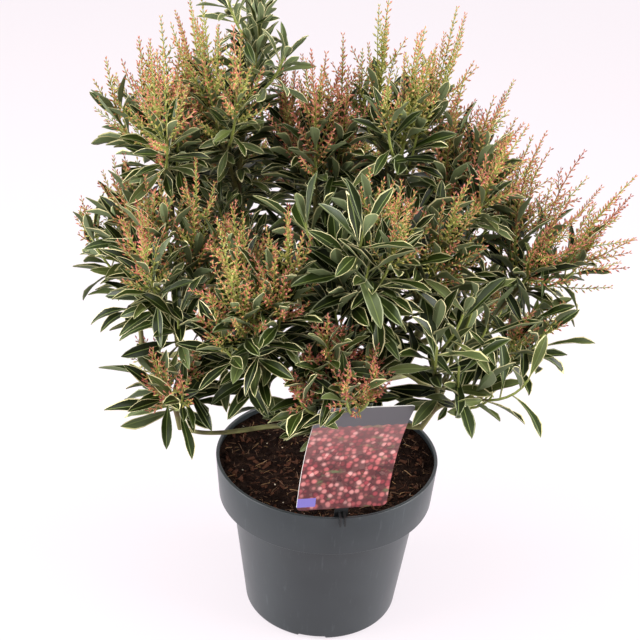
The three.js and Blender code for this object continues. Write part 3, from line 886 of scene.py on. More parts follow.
@dataclass
class Space:
    """The space that one mass keeps to: its side of the plane halfway to each other mass."""

    row: MassRow
    margin: float = 0.5
    flatten: float = 0.6  # how much less heights count than reaches
    foliage_drop: float = 34  # from the tips down to the middle of the leaves
    depth: float = 140  # from the tips down to the foot
    lowest: float = 228
    foot_step: float = 4
    tip_spare: float = 3
    draw_in: float = 0.9
    normals: np.ndarray = field(init=False)
    limits: np.ndarray = field(init=False)

    def __post_init__(self) -> None:
        """Works out the planes to the other masses."""
        flat = np.array([1, 1, self.flatten])
        others = np.array([self.middle_of(other) for other in MASSES if other is not self.row])
        away = others - self.centre
        self.normals = unit(away * flat * flat)
        self.limits = (self.normals * (self.centre + away / 2)).sum(axis=1) - self.margin

    def middle_of(self, row: MassRow) -> np.ndarray:
        """Returns the middle of a mass's leaves."""
        return polar(row.angle, row.reach, row.height - self.foliage_drop)

    @property
    def centre(self) -> np.ndarray:
        """The middle of this mass's leaves."""
        return self.middle_of(self.row)

    @property
    def way(self) -> np.ndarray:
        """The way this mass grows: up, leaning out."""
        return unit(outward_of(self.centre) * self.row.lean + UP)

    def holds(self, points: np.ndarray, spare: float = 0) -> bool:
        """Tells whether all of some points are in the space, with spare room to its planes."""
        return bool((np.atleast_2d(points) @ self.normals.T <= self.limits - spare).all())

    def foot(self) -> np.ndarray:
        """Returns the foot of the mass: as far below its middle as the space goes, up to a set depth."""
        foot = self.centre
        for down in range(self.foot_step, int(self.depth - self.foliage_drop) + 1, self.foot_step):
            lower = self.centre - self.way * down
            if not self.holds(lower, self.foot_step) or lower[2] < self.lowest:
                break
            foot = lower
        return foot

    def tips(self) -> list[np.ndarray]:
        """Returns where the shoots end: round the middle, the outer ones lower, drawn in till they fit."""
        row = self.row
        middle = polar(row.angle, row.reach, row.height)
        found = []
        for number in range(row.shoots):
            offset = polar(row.turn + number * 360 / row.shoots, row.spread, 0)
            offset[2] = -row.fall * (offset @ outward_of(middle))
            while not self.holds(middle + offset, self.tip_spare) and np.linalg.norm(offset) > 1:
                offset = offset * self.draw_in
            found.append(middle + offset)
        return found


# ---------------------------------------------------------------- the wood


@dataclass(frozen=True)
class LimbRow:
    """One limb: where it leaves the main stem, where its tip is, and its radii."""

    name: str
    along: float
    angle: float
    reach: float
    height: float
    foot_radius: float
    tip_radius: float


LIMBS = (
    LimbRow("limb_front", 0.72, -95, 46, 250, 4.6, 3.8),
    LimbRow("limb_back", 0.8, 88, 58, 262, 4.6, 3.8),
    LimbRow("limb_left", 0.88, 183, 74, 292, 4.8, 3.8),
    LimbRow("limb_right", 0.93, -5, 74, 290, 4.8, 3.8),
    LimbRow("limb_centre", 1, 160, 18, 318, 4.8, 3.9),
)


@dataclass
class Limb:
    """A grown limb: its curve, its radius along it and its bark."""

    curve: Curve
    radius_at: Callable[[float], float]
    bark: Finish


@dataclass
class Wood:
    """The main stem, the limbs and the boughs, each a closed tube with the relief of its bark."""

    stem_foot: float = 148.3
    fork_at: tuple[float, float, float] = (-5, 2, 192)
    foot_radius: float = 7.6
    fork_radius: float = 6.2
    flare: float = 1.5
    flare_height: float = 0.3
    stem_gather: float = 0.33
    gather: float = 0.34
    tip_lean: float = 0.35
    bough_radii: tuple[float, float] = (3.4, 2.5)
    foot_pull: float = 2
    limb_collar: float = 0.12  # how much thicker a limb starts
    bough_collar: float = 0.3
    collar_reach: float = 0.16  # the share of a limb that its collar takes
    sides: int = 16
    ring_step: float = 3.0
    least_rings: int = 8
    string_grain: tuple[float, float] = (0.55, 0.07)  # per mm, across the strings of the bark and along them
    swell_grain: float = 0.06
    string_relief: float = 0.09  # of the radius
    swell_relief: float = 0.07
    pattern_shift: float = 40.0  # mm for each letter of a limb's name, so that no two barks are alike
    limbs: dict[str, Limb] = field(default_factory=dict)

    def stem_radius(self, share: float) -> float:
        """Returns the main stem's radius, flared at its foot."""
        spread = max(0.0, 1 - share / self.flare_height)
        return lerp(self.foot_radius, self.fork_radius, share) * (1 + (self.flare - 1) * spread**2)

    def leave(self, parent: str, along: float, target: np.ndarray) -> tuple[np.ndarray, np.ndarray]:
        """Finds where and which way a limb leaves its parent.

        Args:
            parent: the parent's name.
            along: how far along the parent it leaves.
            target: where it is going.

        Returns:
            The point, and a way between the parent's own and the way to the target.
        """
        curve = self.limbs[parent].curve
        point = curve.at(along)
        return point, unit(unit(target - point) + curve.way(along))

    def collared(self, foot: float, tip: float, collar: float) -> Callable[[float], float]:
        """Returns a radius that tapers from foot to tip, with a swollen collar where the limb starts."""
        reach = self.collar_reach
        return lambda share: lerp(foot, tip, share) * (1 + collar * max(0.0, 1 - share / reach) ** 2)

    def grow(self) -> None:
        """Grows the curves of all the wood by the part's rule."""
        foot, fork = np.array([0, 0, self.stem_foot]), np.array(self.fork_at, dtype=float)
        stem = Curve.bend(foot, UP, fork, UP, self.stem_gather)
        self.limbs["main_stem"] = Limb(stem, self.stem_radius, FINISHES.old_bark)
        for row in LIMBS:
            tip = polar(row.angle, row.reach, row.height)
            point, way = self.leave("main_stem", row.along, tip)
            curve = Curve.bend(point, way, tip, unit(outward_of(tip) * self.tip_lean + UP), self.gather)
            radius_at = self.collared(row.foot_radius, row.tip_radius, self.limb_collar)
            self.limbs[row.name] = Limb(curve, radius_at, FINISHES.old_bark)
        for row in MASSES:
            space = Space(row)
            foot = space.foot()
            point, way = self.leave(row.parent, row.along, foot)
            end_way = unit(unit(foot - point) * self.foot_pull + space.way)
            curve = Curve.bend(point, way, foot, end_way, self.gather)
            radii = (radius * row.girth for radius in self.bough_radii)
            radius_at = self.collared(*radii, self.bough_collar)
            self.limbs[f"bough_{row.name}"] = Limb(curve, radius_at, FINISHES.young_bark)

    def relief(self, place: Vector, radius: float) -> float:
        """Returns how far the bark stands out at a place on the straightened limb."""
        across, along = self.string_grain
        strings = noise.noise(Vector((place.x * across, place.y * across, place.z * along)))
        swell = noise.noise(place * self.swell_grain)
        return radius * (self.string_relief * strings + self.swell_relief * swell)

    def build_limb(self, name: str, limb: Limb) -> Object:
        """Models one limb: a tube along its curve, ringed finely enough to carry its relief.

        Args:
            name: the CAD node's name.
            limb: the limb.

        Returns:
            The piece.
        """
        length = limb.curve.length()
        rings = max(self.least_rings, round(length / self.ring_step))
        bm = ringed_rod(self.sides, rings)
        straight = bm.verts.layers.float_vector.new("straight")
        stations = limb.curve.stations(rings)
        offset = self.pattern_shift * len(name)
        for vert in bm.verts:
            share = vert.co.z + 0.5
            ring = round(share * rings)
            radius = limb.radius_at(share)
            place = Vector((vert.co.x * radius, vert.co.y * radius, offset + share * length))
            vert[straight] = place
            radius += self.relief(place, radius)
            across = stations.sides[ring] * vert.co.x - stations.others[ring] * vert.co.y
            vert.co = Vector(stations.points[ring] + across * radius)
        return write_mesh(bm, f"bark_{name}", [limb.bark], crease=70)

    def build(self) -> None:
        """Models and installs every limb."""
        for name, limb in self.limbs.items():
            install(self.build_limb(name, limb), name)

    def axis_points(self, step: float = 4) -> tuple[np.ndarray, np.ndarray]:
        """Returns points along all the limbs, step mm apart, and the radius at each."""
        points, radii = [], []
        for limb in self.limbs.values():
            steps = max(2, round(limb.curve.length() / step))
            for share in np.linspace(0, 1, steps + 1):
                points.append(limb.curve.at(share))
                radii.append(limb.radius_at(share))
        return np.array(points), np.array(radii)


# ---------------------------------------------------------------- the pot, the peat and the label


@dataclass
class Pot:
    """A thin-walled nursery pot with a straight collar, a bevelled shoulder and foot notches."""

    rim_radius: float = 102.5
    height: float = 161
    lip_height: float = 3
    lip_step: float = 1.2
    collar_foot: tuple[float, float] = (99.5, 121)
    shoulder: tuple[float, float] = (86.5, 111)
    base_radius: float = 73
    base_round: float = 3
    wall: float = 1.8
    floor: float = 2.4
    steps: int = 144
    notch_size: tuple[float, float, float] = (26, 4.5, 6)  # width, height and depth
    notch_round: float = 1.5
    notches: int = 4
    first_notch: float = -95
    drains: int = 6
    drain_radius: float = 6
    drain_ring: float = 50
    drain_sides: int = 32
    drain_depth: float = 12
    rounding: float = 0.5

    def outline(self) -> list[tuple[float, float]]:
        """Returns the wall's line as (radius, height), from under the floor's middle round to above it."""
        inner_rim = self.rim_radius - self.wall
        lip = self.height - self.lip_height
        inner_collar = (self.collar_foot[0] - self.wall, self.collar_foot[1])
        slope = (self.shoulder[0] - self.base_radius) / (self.shoulder[1] - self.base_round)
        above = self.notch_size[1] + self.notch_round  # this ring keeps the notches' shading to the foot
        return [
            (0, 0), (self.base_radius - self.base_round, 0), (self.base_radius, self.base_round),
            (self.base_radius + slope * (above - self.base_round), above), self.shoulder,
            self.collar_foot, (self.rim_radius, self.height), (inner_rim - self.lip_step, self.height),
            (inner_rim - self.lip_step, lip), (inner_rim, lip), inner_collar,
            (self.shoulder[0] - self.wall, self.shoulder[1]), (self.base_radius - self.wall, self.floor),
            (0, self.floor),
        ]

    def spun_wall(self) -> BMesh:
        """Spins the outline into the wall and rounds its rings."""
        bm = spun(self.outline(), self.steps)
        corners = [
            e for e in bm.edges
            if abs(e.verts[0].co.z - e.verts[1].co.z) < 0.01 and e.calc_face_angle(0) > 0.05
        ]
        round_off(bm, corners, self.rounding, 3, clamp=True)
        return bm

    def notch_cutter(self, angle: float) -> Object:
        """Returns the block that cuts the foot notch at an angle."""
        width, height, depth = self.notch_size
        bm = block(2 * depth, width, 2 * height)
        tops = [
            e for e in bm.edges
            if min(v.co.z for v in e.verts) > 0 and abs(e.verts[0].co.y - e.verts[1].co.y) < 1
        ]
        round_off(bm, tops, self.notch_round, 4)
        bmesh.ops.translate(bm, vec=(self.base_radius, 0, 0), verts=bm.verts)
        bmesh.ops.rotate(bm, matrix=Matrix.Rotation(math.radians(angle), 3, "Z"), verts=bm.verts)
        return write_mesh(bm, "notch_cutter", [])

    def drain_cutter(self, angle: float) -> Object:
        """Returns the rod that cuts the drain hole at an angle."""
        bm = ringed_rod(self.drain_sides, 1)
        bmesh.ops.scale(bm, vec=(self.drain_radius, self.drain_radius, self.drain_depth), verts=bm.verts)
        bmesh.ops.translate(bm, vec=polar(angle, self.drain_ring, 0), verts=bm.verts)
        return write_mesh(bm, "drain_cutter", [])

    def build(self) -> None:
        """Models the pot, cuts its notches and drain holes, and installs it."""
        pot = write_mesh(self.spun_wall(), "nursery_pot", [FINISHES.pot], crease=30)
        angles = [self.first_notch + i * 360 / self.notches for i in range(self.notches)]
        carve(pot, [self.notch_cutter(angle) for angle in angles])
        carve(pot, [self.drain_cutter(i * 360 / self.drains) for i in range(self.drains)])
        install(pot, "pot")


@dataclass
class Peat:
    """The peat that fills the pot: a crumbled top that heaps against the wall, with litter strewn on it."""

    pot: Pot
    level: float = 150
    edge_rise: float = 5
    flat_share: float = 0.8  # of the radius, past which it heaps up
    gap: float = 0.3
    relief: float = 2.2
    crumbs: tuple[tuple[float, float], ...] = ((0.55, 13), (0.3, 5.5), (0.15, 2.5))  # share and mm
    rings: int = 34
    steps: int = 120
    chips: int = 900
    fibres: int = 700
    clods: int = 700
    grit: int = 40
    edge_free: float = 4  # mm along the wall, and round the stem, without litter
    middle_free: float = 9
    tilts: tuple[float, float] = (0.5, 0.7)  # radians
    proud: float = 0.06  # how far litter stands out of the peat, as a share of its length
    chip_size: tuple[float, float, float] = (1, 0.42, 0.16)
    chip_tear: tuple[float, float] = (3.1, 0.16)  # how fine and how deep a chip is torn
    fibre_radius: float = 0.022
    seed: int = 7

    def wall_radius(self, height: float) -> float:
        """Returns the peat's radius against the collar at a height."""
        (foot_radius, foot), rim = self.pot.collar_foot, self.pot.rim_radius
        share = (height - foot) / (self.pot.height - foot)
        return lerp(foot_radius, rim, share) - self.pot.wall - self.gap

    def top_at(self, x: float, y: float) -> float:
        """Returns the height of the crumbled top at a place."""
        edge = self.wall_radius(self.level + self.edge_rise)
        share = math.hypot(x, y) / edge
        heap = max(0.0, (share - self.flat_share) / (1 - self.flat_share)) * self.edge_rise
        place = Vector((x, y, 0))
        crumbled = sum(share * noise.noise(place / size) for share, size in self.crumbs)
        return self.level + heap + self.relief * crumbled

    def body(self) -> BMesh:
        """Spins the peat and crumbles its top."""
        pot, edge, foot = self.pot, self.level + self.edge_rise, self.pot.floor + self.gap
        line = [
            (0, foot), (pot.base_radius - pot.notch_size[2] - 3 * self.gap, foot),
            (pot.shoulder[0] - pot.wall - 3 * self.gap, pot.shoulder[1]),
            (pot.collar_foot[0] - pot.wall - 2 * self.gap, pot.collar_foot[1] + self.gap),
        ]
        rim = self.wall_radius(edge)
        line += [(rim * (1 - i / self.rings), edge if i == 0 else self.level) for i in range(self.rings + 1)]
        bm = spun(line, self.steps)
        for vert in bm.verts:
            if vert.co.z > self.level - 0.01:
                vert.co.z = self.top_at(vert.co.x, vert.co.y)
        return bm

    def chip(self) -> Shape:
        """Returns a torn flake of bark, 1 long."""
        bm = block(*self.chip_size)
        grain, depth = self.chip_tear
        noise.seed_set(self.seed)  # without it noise vectors start from the clock
        for vert in bm.verts:
            vert.co += noise.noise_vector(vert.co * grain) * depth
        return Shape.of(bm)

    def fibre(self) -> Shape:
        """Returns a bent rootlet, 1 long."""
        curve = Curve(np.array([[-0.5, 0, 0], [-0.2, 0.1, 0.05], [0.2, -0.1, 0.08], [0.5, 0.05, 0]]))
        steps = 5
        rod = tube(3, steps)
        return replace(rod, points=swept(rod, curve.stations(steps), np.full(steps + 1, self.fibre_radius)))

    def strew(
        self, joined: Joined, shape: Shape, count: int, sizes: tuple[float, float], slots: Sequence[int],
        stream: Stream,
    ) -> None:
        """Strews copies of a shape over the top, lying at a slight tilt.

        Args:
            joined: the piece that takes them.
            shape: the shape, 1 long.
            count: how many.
            sizes: the shortest and longest in mm.
            slots: the material slots to deal from.
            stream: the numbers to draw from.
        """
        for _ in range(count):
            radius = (self.wall_radius(self.level) - self.edge_free) * math.sqrt(stream.draw())
            if radius < self.middle_free:
                continue
            x, y, _z = polar(stream.between(0, 360), radius, 0)
            size = lerp(*sizes, stream.draw() ** 2)
            turn = Matrix.Rotation(stream.between(0, 2 * math.pi), 3, "Z")
            pitch, roll = (
                Matrix.Rotation(stream.between(-tilt, tilt), 3, axis) for tilt, axis in zip(self.tilts, "YX")
            )
            basis = np.array((turn @ (pitch @ roll)).transposed())
            points = shape.points @ basis * size + np.array([x, y, self.top_at(x, y) + self.proud * size])
            slot = slots[int(stream.draw() * len(slots))]
            joined.add(shape, points[None], np.full((1, len(shape.sizes)), slot))

    def build(self) -> None:
        """Models and installs the peat and its litter."""
        install(write_mesh(self.body(), "peat_fill", [FINISHES.peat], crease=60), "soil")
        litter, stream, chip = Joined(), Stream(self.seed), self.chip()
        for shape, count, sizes, slots in (
            (chip, self.clods, (2.0, 6.5), [0]),
            (chip, self.chips, (1.3, 7.0), [0, 0, 1, 1, 1]),
            (self.fibre(), self.fibres, (4.0, 14.0), [1, 1, 2, 2, 3]),
            (chip, self.grit, (1.0, 2.4), [4]),
        ):
            self.strew(litter, shape, count, sizes, slots, stream)
        install(litter.build("peat_litter", FINISHES.litter, crease=45), "soil")


@dataclass
class Label:
    """The plant label: a printed card that curls forward, on a stake that hooks over the rim."""

    pot: Pot
    width: float = 80
    height: float = 120
    thickness: float = 0.9
    corner_radius: float = 4
    foot_angle: float = -81.7
    foot_radius: float = 94.5
    foot_height: float = 166.6
    yaw: float = 16
    roll: float = -4
    lean_back: float = 2
    bend: float = 31
    rows: int = 26
    tongue: tuple[float, float, float] = (12, 34, 3)  # width, length and overlap
    prong: tuple[float, float, float] = (1.6, 7.5, 1.0)  # width, length and thickness
    tongue_round: float = 4
    tongue_share: float = 0.96  # of the card's thickness
    prong_apart: float = 4
    prong_reach: float = 2
    prong_gap: float = 0.6  # between the rim and the prongs over it
    prong_above: float = 2.2
    sight: tuple[float, float, float] = (0, -0.9, 0.45)  # the way to the eye that reads it
    sight_steps: tuple[int, int, int] = (4, 150, 8)  # mm along it: the first, the end and the step
    sight_reach: float = 6  # how near the card a step counts as on it
    spare_above: float = 5
    open_corner: tuple[float, float] = (-6, 92)  # left of this, above this, a leaf may hang over the print

    def frame(self) -> Matrix:
        """Returns the matrix of the card's width, its rise, the side it faces, and its foot."""
        yaw = math.radians(self.yaw)
        width = Vector((math.cos(yaw), math.sin(yaw), math.tan(math.radians(self.roll)))).normalized()
        back = Vector((-math.sin(yaw), math.cos(yaw), 0))
        rise = Matrix.Rotation(-math.radians(self.lean_back), 3, width) @ width.cross(back)
        matrix = Matrix((width, rise, width.cross(rise))).transposed().to_4x4()
        matrix.translation = Vector(polar(self.foot_angle, self.foot_radius, self.foot_height))
        return matrix

    def curled(self, point: Vector) -> Vector:
        """Returns where a point of the flat card goes when it curls: x across it, y up it, z off it."""
        curl = math.radians(self.bend) / self.height
        radius, angle = 1 / curl - point.z, point.y * curl
        return Vector((point.x, radius * math.sin(angle), 1 / curl - radius * math.cos(angle)))

    def card(self) -> BMesh:
        """Models the card flat, with rounded corners, a print map and a cut edge, and curls it."""
        bm = bmesh.new()
        bmesh.ops.create_grid(bm, x_segments=1, y_segments=1, size=0.5)
        bmesh.ops.scale(bm, vec=(self.width, self.height, 1), verts=bm.verts)
        bmesh.ops.translate(bm, vec=(0, self.height / 2, 0), verts=bm.verts)
        round_off(bm, list(bm.verts), self.corner_radius, 6, affect="VERTICES")
        for row in range(1, self.rows):
            bmesh.ops.bisect_plane(
                bm, geom=[*bm.verts, *bm.edges, *bm.faces], plane_co=(0, row * self.height / self.rows, 0),
                plane_no=(0, 1, 0),
            )
        prints = bm.loops.layers.uv.new("print")
        for face in bm.faces:
            for loop in face.loops:
                across = (loop.vert.co.x + self.width / 2) / self.width
                loop[prints].uv = (across, loop.vert.co.y / self.width)
        bmesh.ops.recalc_face_normals(bm, faces=bm.faces)
        if next(iter(bm.faces)).normal.z < 0:
            bmesh.ops.reverse_faces(bm, faces=bm.faces)
        bmesh.ops.solidify(bm, geom=list(bm.faces), thickness=self.thickness)
        middle = sum(v.co.z for v in bm.verts) / len(bm.verts)
        for face in bm.faces:
            face.material_index = 0 if face.normal.z > 0.5 else 1
        for vert in bm.verts:
            vert.co.z -= middle
            vert.co = self.curled(vert.co)
        bmesh.ops.transform(bm, matrix=self.frame(), verts=bm.verts)
        return bm

    def stake(self) -> BMesh:
        """Models the tongue below the card and the two prongs over the rim."""
        width, length, overlap = self.tongue
        bm = block(width, length + overlap, self.thickness * self.tongue_share)
        bmesh.ops.translate(bm, vec=(0, (overlap - length) / 2, 0), verts=bm.verts)
        lower = [e for e in bm.edges if max(v.co.y for v in e.verts) < -length / 2]
        upright = [e for e in lower if abs(e.verts[0].co.z - e.verts[1].co.z) > 0.1]
        round_off(bm, upright, self.tongue_round, 4)
        bmesh.ops.transform(bm, matrix=self.frame(), verts=bm.verts)
        for side in (-0.5, 0.5):
            self.add_prong(bm, side * self.prong_apart)
        return bm

    def add_prong(self, bm: BMesh, shift: float) -> None:
        """Adds one prong, shifted along the rim.

        Args:
            bm: the mesh that takes it.
            shift: how far along the rim its middle is.
        """
        width, length, thickness = self.prong
        inside, outside = self.foot_radius - self.thickness / 2, self.pot.rim_radius + self.prong_reach
        low, high = self.pot.height + self.prong_gap, self.pot.height + self.prong_above
        back, foot = outside - thickness, low - length
        corners = [(inside, low), (back, low), (back, foot), (outside, foot), (outside, high), (inside, high)]
        verts = [bm.verts.new((x, shift - width / 2, z)) for x, z in corners]
        face = bm.faces.new(verts)
        grown = bmesh.ops.extrude_face_region(bm, geom=[face])["geom"]
        moved = [item for item in grown if isinstance(item, BMVert)]
        bmesh.ops.translate(bm, vec=(0, width, 0), verts=moved)
        faces = {f for v in [*verts, *moved] for f in v.link_faces}
        bmesh.ops.recalc_face_normals(bm, faces=list(faces))
        turn = Matrix.Rotation(math.radians(self.foot_angle), 3, "Z")
        bmesh.ops.rotate(bm, matrix=turn, verts=[*verts, *moved])

    def on_card(self, points: np.ndarray) -> tuple[np.ndarray, np.ndarray, np.ndarray]:
        """Returns how far points are across the card, up it and off it."""
        local = (points - np.array(self.frame().translation)) @ np.array(self.frame().to_3x3())
        curl = math.radians(self.bend) / self.height
        deep = 1 / curl - local[:, 2]
        return local[:, 0], np.arctan2(local[:, 1], deep) / curl, 1 / curl - np.hypot(local[:, 1], deep)

    def touches(self, points: np.ndarray, slack: float) -> bool:
        """Tells whether any of some points is within a slack of the card."""
        across, up, off = self.on_card(points)
        beside = np.abs(across) < self.width / 2 + slack
        level = (up > -slack) & (up < self.height + slack)
        return bool((beside & level & (np.abs(off) < slack)).any())

    def covers(self, points: np.ndarray) -> bool:
        """Tells whether points hang before the print, seen from above, but for one top corner."""
        sight = unit(np.array(self.sight))
        for step in range(*self.sight_steps):
            across, up, off = self.on_card(points - sight * step)
            beside = np.abs(across) < self.width / 2 - 1
            level = (up > 0) & (up < self.height + self.spare_above)
            level &= ~((across < self.open_corner[0]) & (up > self.open_corner[1]))
            if (beside & level & (np.abs(off) < self.sight_reach)).any():
                return True
        return False

    def build(self) -> None:
        """Models and installs the card and its stake."""
        card = write_mesh(self.card(), "label_card", [FINISHES.card, FINISHES.card_edge])
        install(card, "plant_label")
        install(write_mesh(self.stake(), "label_stake", [FINISHES.stake], crease=30), "plant_label")


# ---------------------------------------------------------------- leaves, racemes and twigs


class LeafPart(IntEnum):
    """The parts of a leaf that take their own tint."""

    MARGIN = 0
    BLADE = 1
    RIB = 2
    UNDERSIDE = 3


@dataclass(frozen=True)
class LeafForm:
    """One way a leaf has grown: how it folds, arches, twists and ripples, and how much of it is cream."""

    fold: float
    arch: float
    twist: float
    ripple: float
    margin: float = 0.4
    cream_tip: bool = False
    length: float = 44
    width: float = 9.0
    rib: float = 0.6
    thickness: float = 0.45
    broader_from: float = 0.6  # the share of the length past which the margin grows broader
    least_blade: float = 0.45  # of the half width
    most_rib: float = 0.2  # of the half width
    cup: tuple[float, float] = (0.7, 0.3)  # how much of the fold the rib takes, and how much more the edge
    ripple_waves: float = 10  # radians along the leaf
    ripple_shift: float = 2.1  # radians between its sides
    ripple_width: float = 4  # the half width from which it ripples in full
    rise: float = 0.22  # the share of the length over which it still turns up
    chords: int = 8
    under_drops: tuple[float, ...] = (0, 0.6, 1.7)  # thicknesses below the upper skin, from the edge in
    # Rows up the leaf as (share of the length, share of the half width).
    outline: tuple[tuple[float, float], ...] = (
        (0, 0.12), (0.14, 0.19), (0.3, 0.55), (0.46, 0.87),
        (0.62, 1.0), (0.78, 0.87), (0.91, 0.52), (1, 0.04),
    )

    def across_at(self, row: int, column: int, columns: int) -> float:
        """Returns how far a column of the grid stands off the rib in a row.

        Args:
            row: the row, from the foot.
            column: the column, from the left edge.
            columns: how many columns there are.

        Returns:
            The distance, negative on the left.
        """
        share, width = self.outline[row]
        half = width * self.width / 2
        inward = min(column, columns - 1 - column)
        spread = self.margin * (1 + max(0.0, share - self.broader_from))
        rib = 0.0 if columns % 2 else min(self.rib / 2, self.most_rib * half)
        reach = (half, max(half - spread, self.least_blade * half), rib)[inward]
        return -reach if column < columns / 2 else reach

    def place(self, row: int, across: float, drop: float) -> Vector:
        """Returns where a point of the leaf is, folded, rippled, arched and twisted.

        Args:
            row: its row, from the foot.
            across: how far it is off the rib.
            drop: how far it is below the upper skin.

        Returns:
            The point, with the leaf along +Y and its upper side to +Z.
        """
        share, width = self.outline[row]
        half = max(width * self.width / 2, 0.1)
        edge = abs(across) / half
        lift = abs(across) * math.tan(math.radians(self.fold)) * (self.cup[0] + self.cup[1] * edge)
        wave = math.sin(share * self.ripple_waves + (self.ripple_shift if across > 0 else 0))
        lift += self.ripple * edge * edge * wave * min(1, half / self.ripple_width)
        twist = math.radians(self.twist) * share
        x = across * math.cos(twist) - (lift - drop) * math.sin(twist)
        z = across * math.sin(twist) + (lift - drop) * math.cos(twist)
        arch = math.radians(self.arch)
        angles = arch * (np.linspace(0, share, self.chords + 1) - self.rise)
        mean = (angles[1:] + angles[:-1]) / 2
        chord = self.length * share / self.chords
        along, sunk = float(np.cos(mean).sum() * chord), float(np.sin(mean).sum() * chord)
        end = arch * (share - self.rise)
        return Vector((x, along + z * math.sin(end), z * math.cos(end) - sunk))

    def lay(self, bm: BMesh, columns: int, under: bool) -> None:
        """Adds one skin of the leaf: a grid laid to the outline, with its parts marked.

        Args:
            bm: the mesh that takes it.
            columns: how many columns of points it has.
            under: whether it is the lower skin.
        """
        rows = len(self.outline)
        verts = bmesh.ops.create_grid(bm, x_segments=columns - 1, y_segments=rows - 1, size=1)["verts"]
        # Past these only the outermost faces of the grid, from -1 to 1, have their middles.
        side, top = 1 - 1.9 / (columns - 1), 1 - 1.9 / (rows - 1)
        for face in {face for vert in verts for face in vert.link_faces}:
            middle = face.calc_center_median()
            if abs(middle.x) > side or self.cream_tip and middle.y > top:
                part = LeafPart.MARGIN
            elif under:
                part = LeafPart.UNDERSIDE
            else:
                part = LeafPart.RIB if abs(middle.x) < 0.1 else LeafPart.BLADE
            face.material_index = part
        for vert in verts:
            column = round((vert.co.x + 1) / 2 * (columns - 1))
            row = round((vert.co.y + 1) / 2 * (rows - 1))
            across = self.across_at(row, column, columns)
            inward = min(column, columns - 1 - column)
            drop = self.thickness * self.under_drops[inward] if under else 0
            vert.co = self.place(row, across, drop)

    def build(self) -> Shape:
        """Returns the leaf as a closed shape."""
        bm = bmesh.new()
        self.lay(bm, 6, under=False)
        self.lay(bm, 5, under=True)
        bmesh.ops.remove_doubles(bm, verts=bm.verts, dist=0.002)
        bmesh.ops.holes_fill(bm, edges=[e for e in bm.edges if e.is_boundary], sides=12)
        bmesh.ops.recalc_face_normals(bm, faces=bm.faces)
        return Shape.of(bm)


# Leaves from the most upright to the most arched, then two with broad cream margins for the lower shoots.
LEAF_FORMS = (
    LeafForm(fold=30, arch=8, twist=14, ripple=0.8, margin=0.3),
    LeafForm(fold=26, arch=18, twist=-26, ripple=1.1, margin=0.5),
    LeafForm(fold=22, arch=30, twist=30, ripple=1.2, margin=0.32),
    LeafForm(fold=18, arch=44, twist=-22, ripple=1.1, margin=0.55),
    LeafForm(fold=14, arch=60, twist=24, ripple=1.0, margin=0.35),
    LeafForm(fold=22, arch=26, twist=24, ripple=1.3, width=10, margin=0.65),
    LeafForm(fold=16, arch=50, twist=-28, ripple=1.2, width=10, margin=0.75, cream_tip=True),
)
PLAIN_FORMS = 5


class BudPart(IntEnum):
    """The parts of a bud that take their own tint."""

    CUP = 0
    TIP = 1


@dataclass(frozen=True)
class BudForm:
    """A bud that swells from its stalk to past its middle and is pointed."""

    length: float = 6.2
    heights: tuple[float, ...] = (0, 0.62, 1)
    radii: tuple[float, ...] = (0, 0.88, 0)
    sides: int = 4

    def build(self) -> Shape:
        """Returns the bud along +Y as a closed shape."""
        rings = len(self.heights) - 1
        bm = ringed_rod(self.sides, rings)
        for face in bm.faces:
            low = face.calc_center_median().z < -0.5 + 0.9 / rings  # in the lowest ring
            face.material_index = BudPart.CUP if low else BudPart.TIP
        for vert in bm.verts:
            ring = round((vert.co.z + 0.5) * rings)
            radius = self.radii[ring]
            vert.co = Vector((vert.co.x * radius, self.heights[ring] * self.length, -vert.co.y * radius))
        bmesh.ops.remove_doubles(bm, verts=bm.verts, dist=0.001)
        bmesh.ops.recalc_face_normals(bm, faces=bm.faces)
        return Shape.of(bm)


@dataclass
class KeptClear:
    """What leaves and twigs keep clear of: the pot, the label, the wood and the part's own box."""

    pot: Pot
    label: Label
    points: np.ndarray
    radii: np.ndarray
    low_corner: np.ndarray
    high_corner: np.ndarray
    slack: float = 1.2
    lowest: float = 206  # over the pot and round its rim leaves stay above this, so the peat shows
    around: float = 14
    # Past the rim leaves stay above the first, in mm, and higher by the second for each mm to the right.
    skirt: tuple[float, float] = (251, 0.1)
    wood_gap: float = 0.5

    def allows(self, points: np.ndarray, free_foot: bool = True) -> bool:
        """Tells whether points are clear of all that is kept clear.

        Args:
            points: the points to test, in order from the foot.
            free_foot: whether the first quarter of them may touch wood, as a leaf's foot does.

        Returns:
            True if they are clear.
        """
        near = np.hypot(points[:, 0], points[:, 1]) < self.pot.rim_radius + self.around
        if (near & (points[:, 2] < self.lowest)).any():
            return False
        if (points < self.low_corner).any() or (points > self.high_corner).any():
            return False
        if (~near & (points[:, 2] < self.skirt[0] + self.skirt[1] * points[:, 0])).any():
            return False
        if self.label.touches(points, self.slack) or self.label.covers(points):
            return False
        tested = points[len(points) // 4 :] if free_foot else points
        gaps = np.linalg.norm(tested[:, None] - self.points[None], axis=2) - self.radii
        return bool(gaps.min() > self.wood_gap)


class Spray(Enum):
    """How a shoot is furnished: in bud, as its side twig, with leaves to its end, or as a low leafy twig."""

    MAIN = "main"
    SIDE = "side"
    LEAFY = "leafy"
    INNER = "inner"


@dataclass(frozen=True)
class Leafing:
    """How many leaves a shoot carries, and where."""

    count: int
    span: tuple[float, float]
    spacing: float
    sizes: tuple[float, float]
    leans: tuple[float, float]
    slack: float = 12  # how far a leaf may pass out of its mass's space


@dataclass(frozen=True)
class Flowering:
    """How many racemes a shoot carries, and where."""

    count: int
    span: tuple[float, float]
    sizes: tuple[float, float]
    leans: tuple[float, float]
    branches: tuple[int, int]  # of the first raceme, which carries the panicle, and of each other
    shrink: float = 0.6  # powers of the order, below 1 to change early
    lean_out: float = 0.8


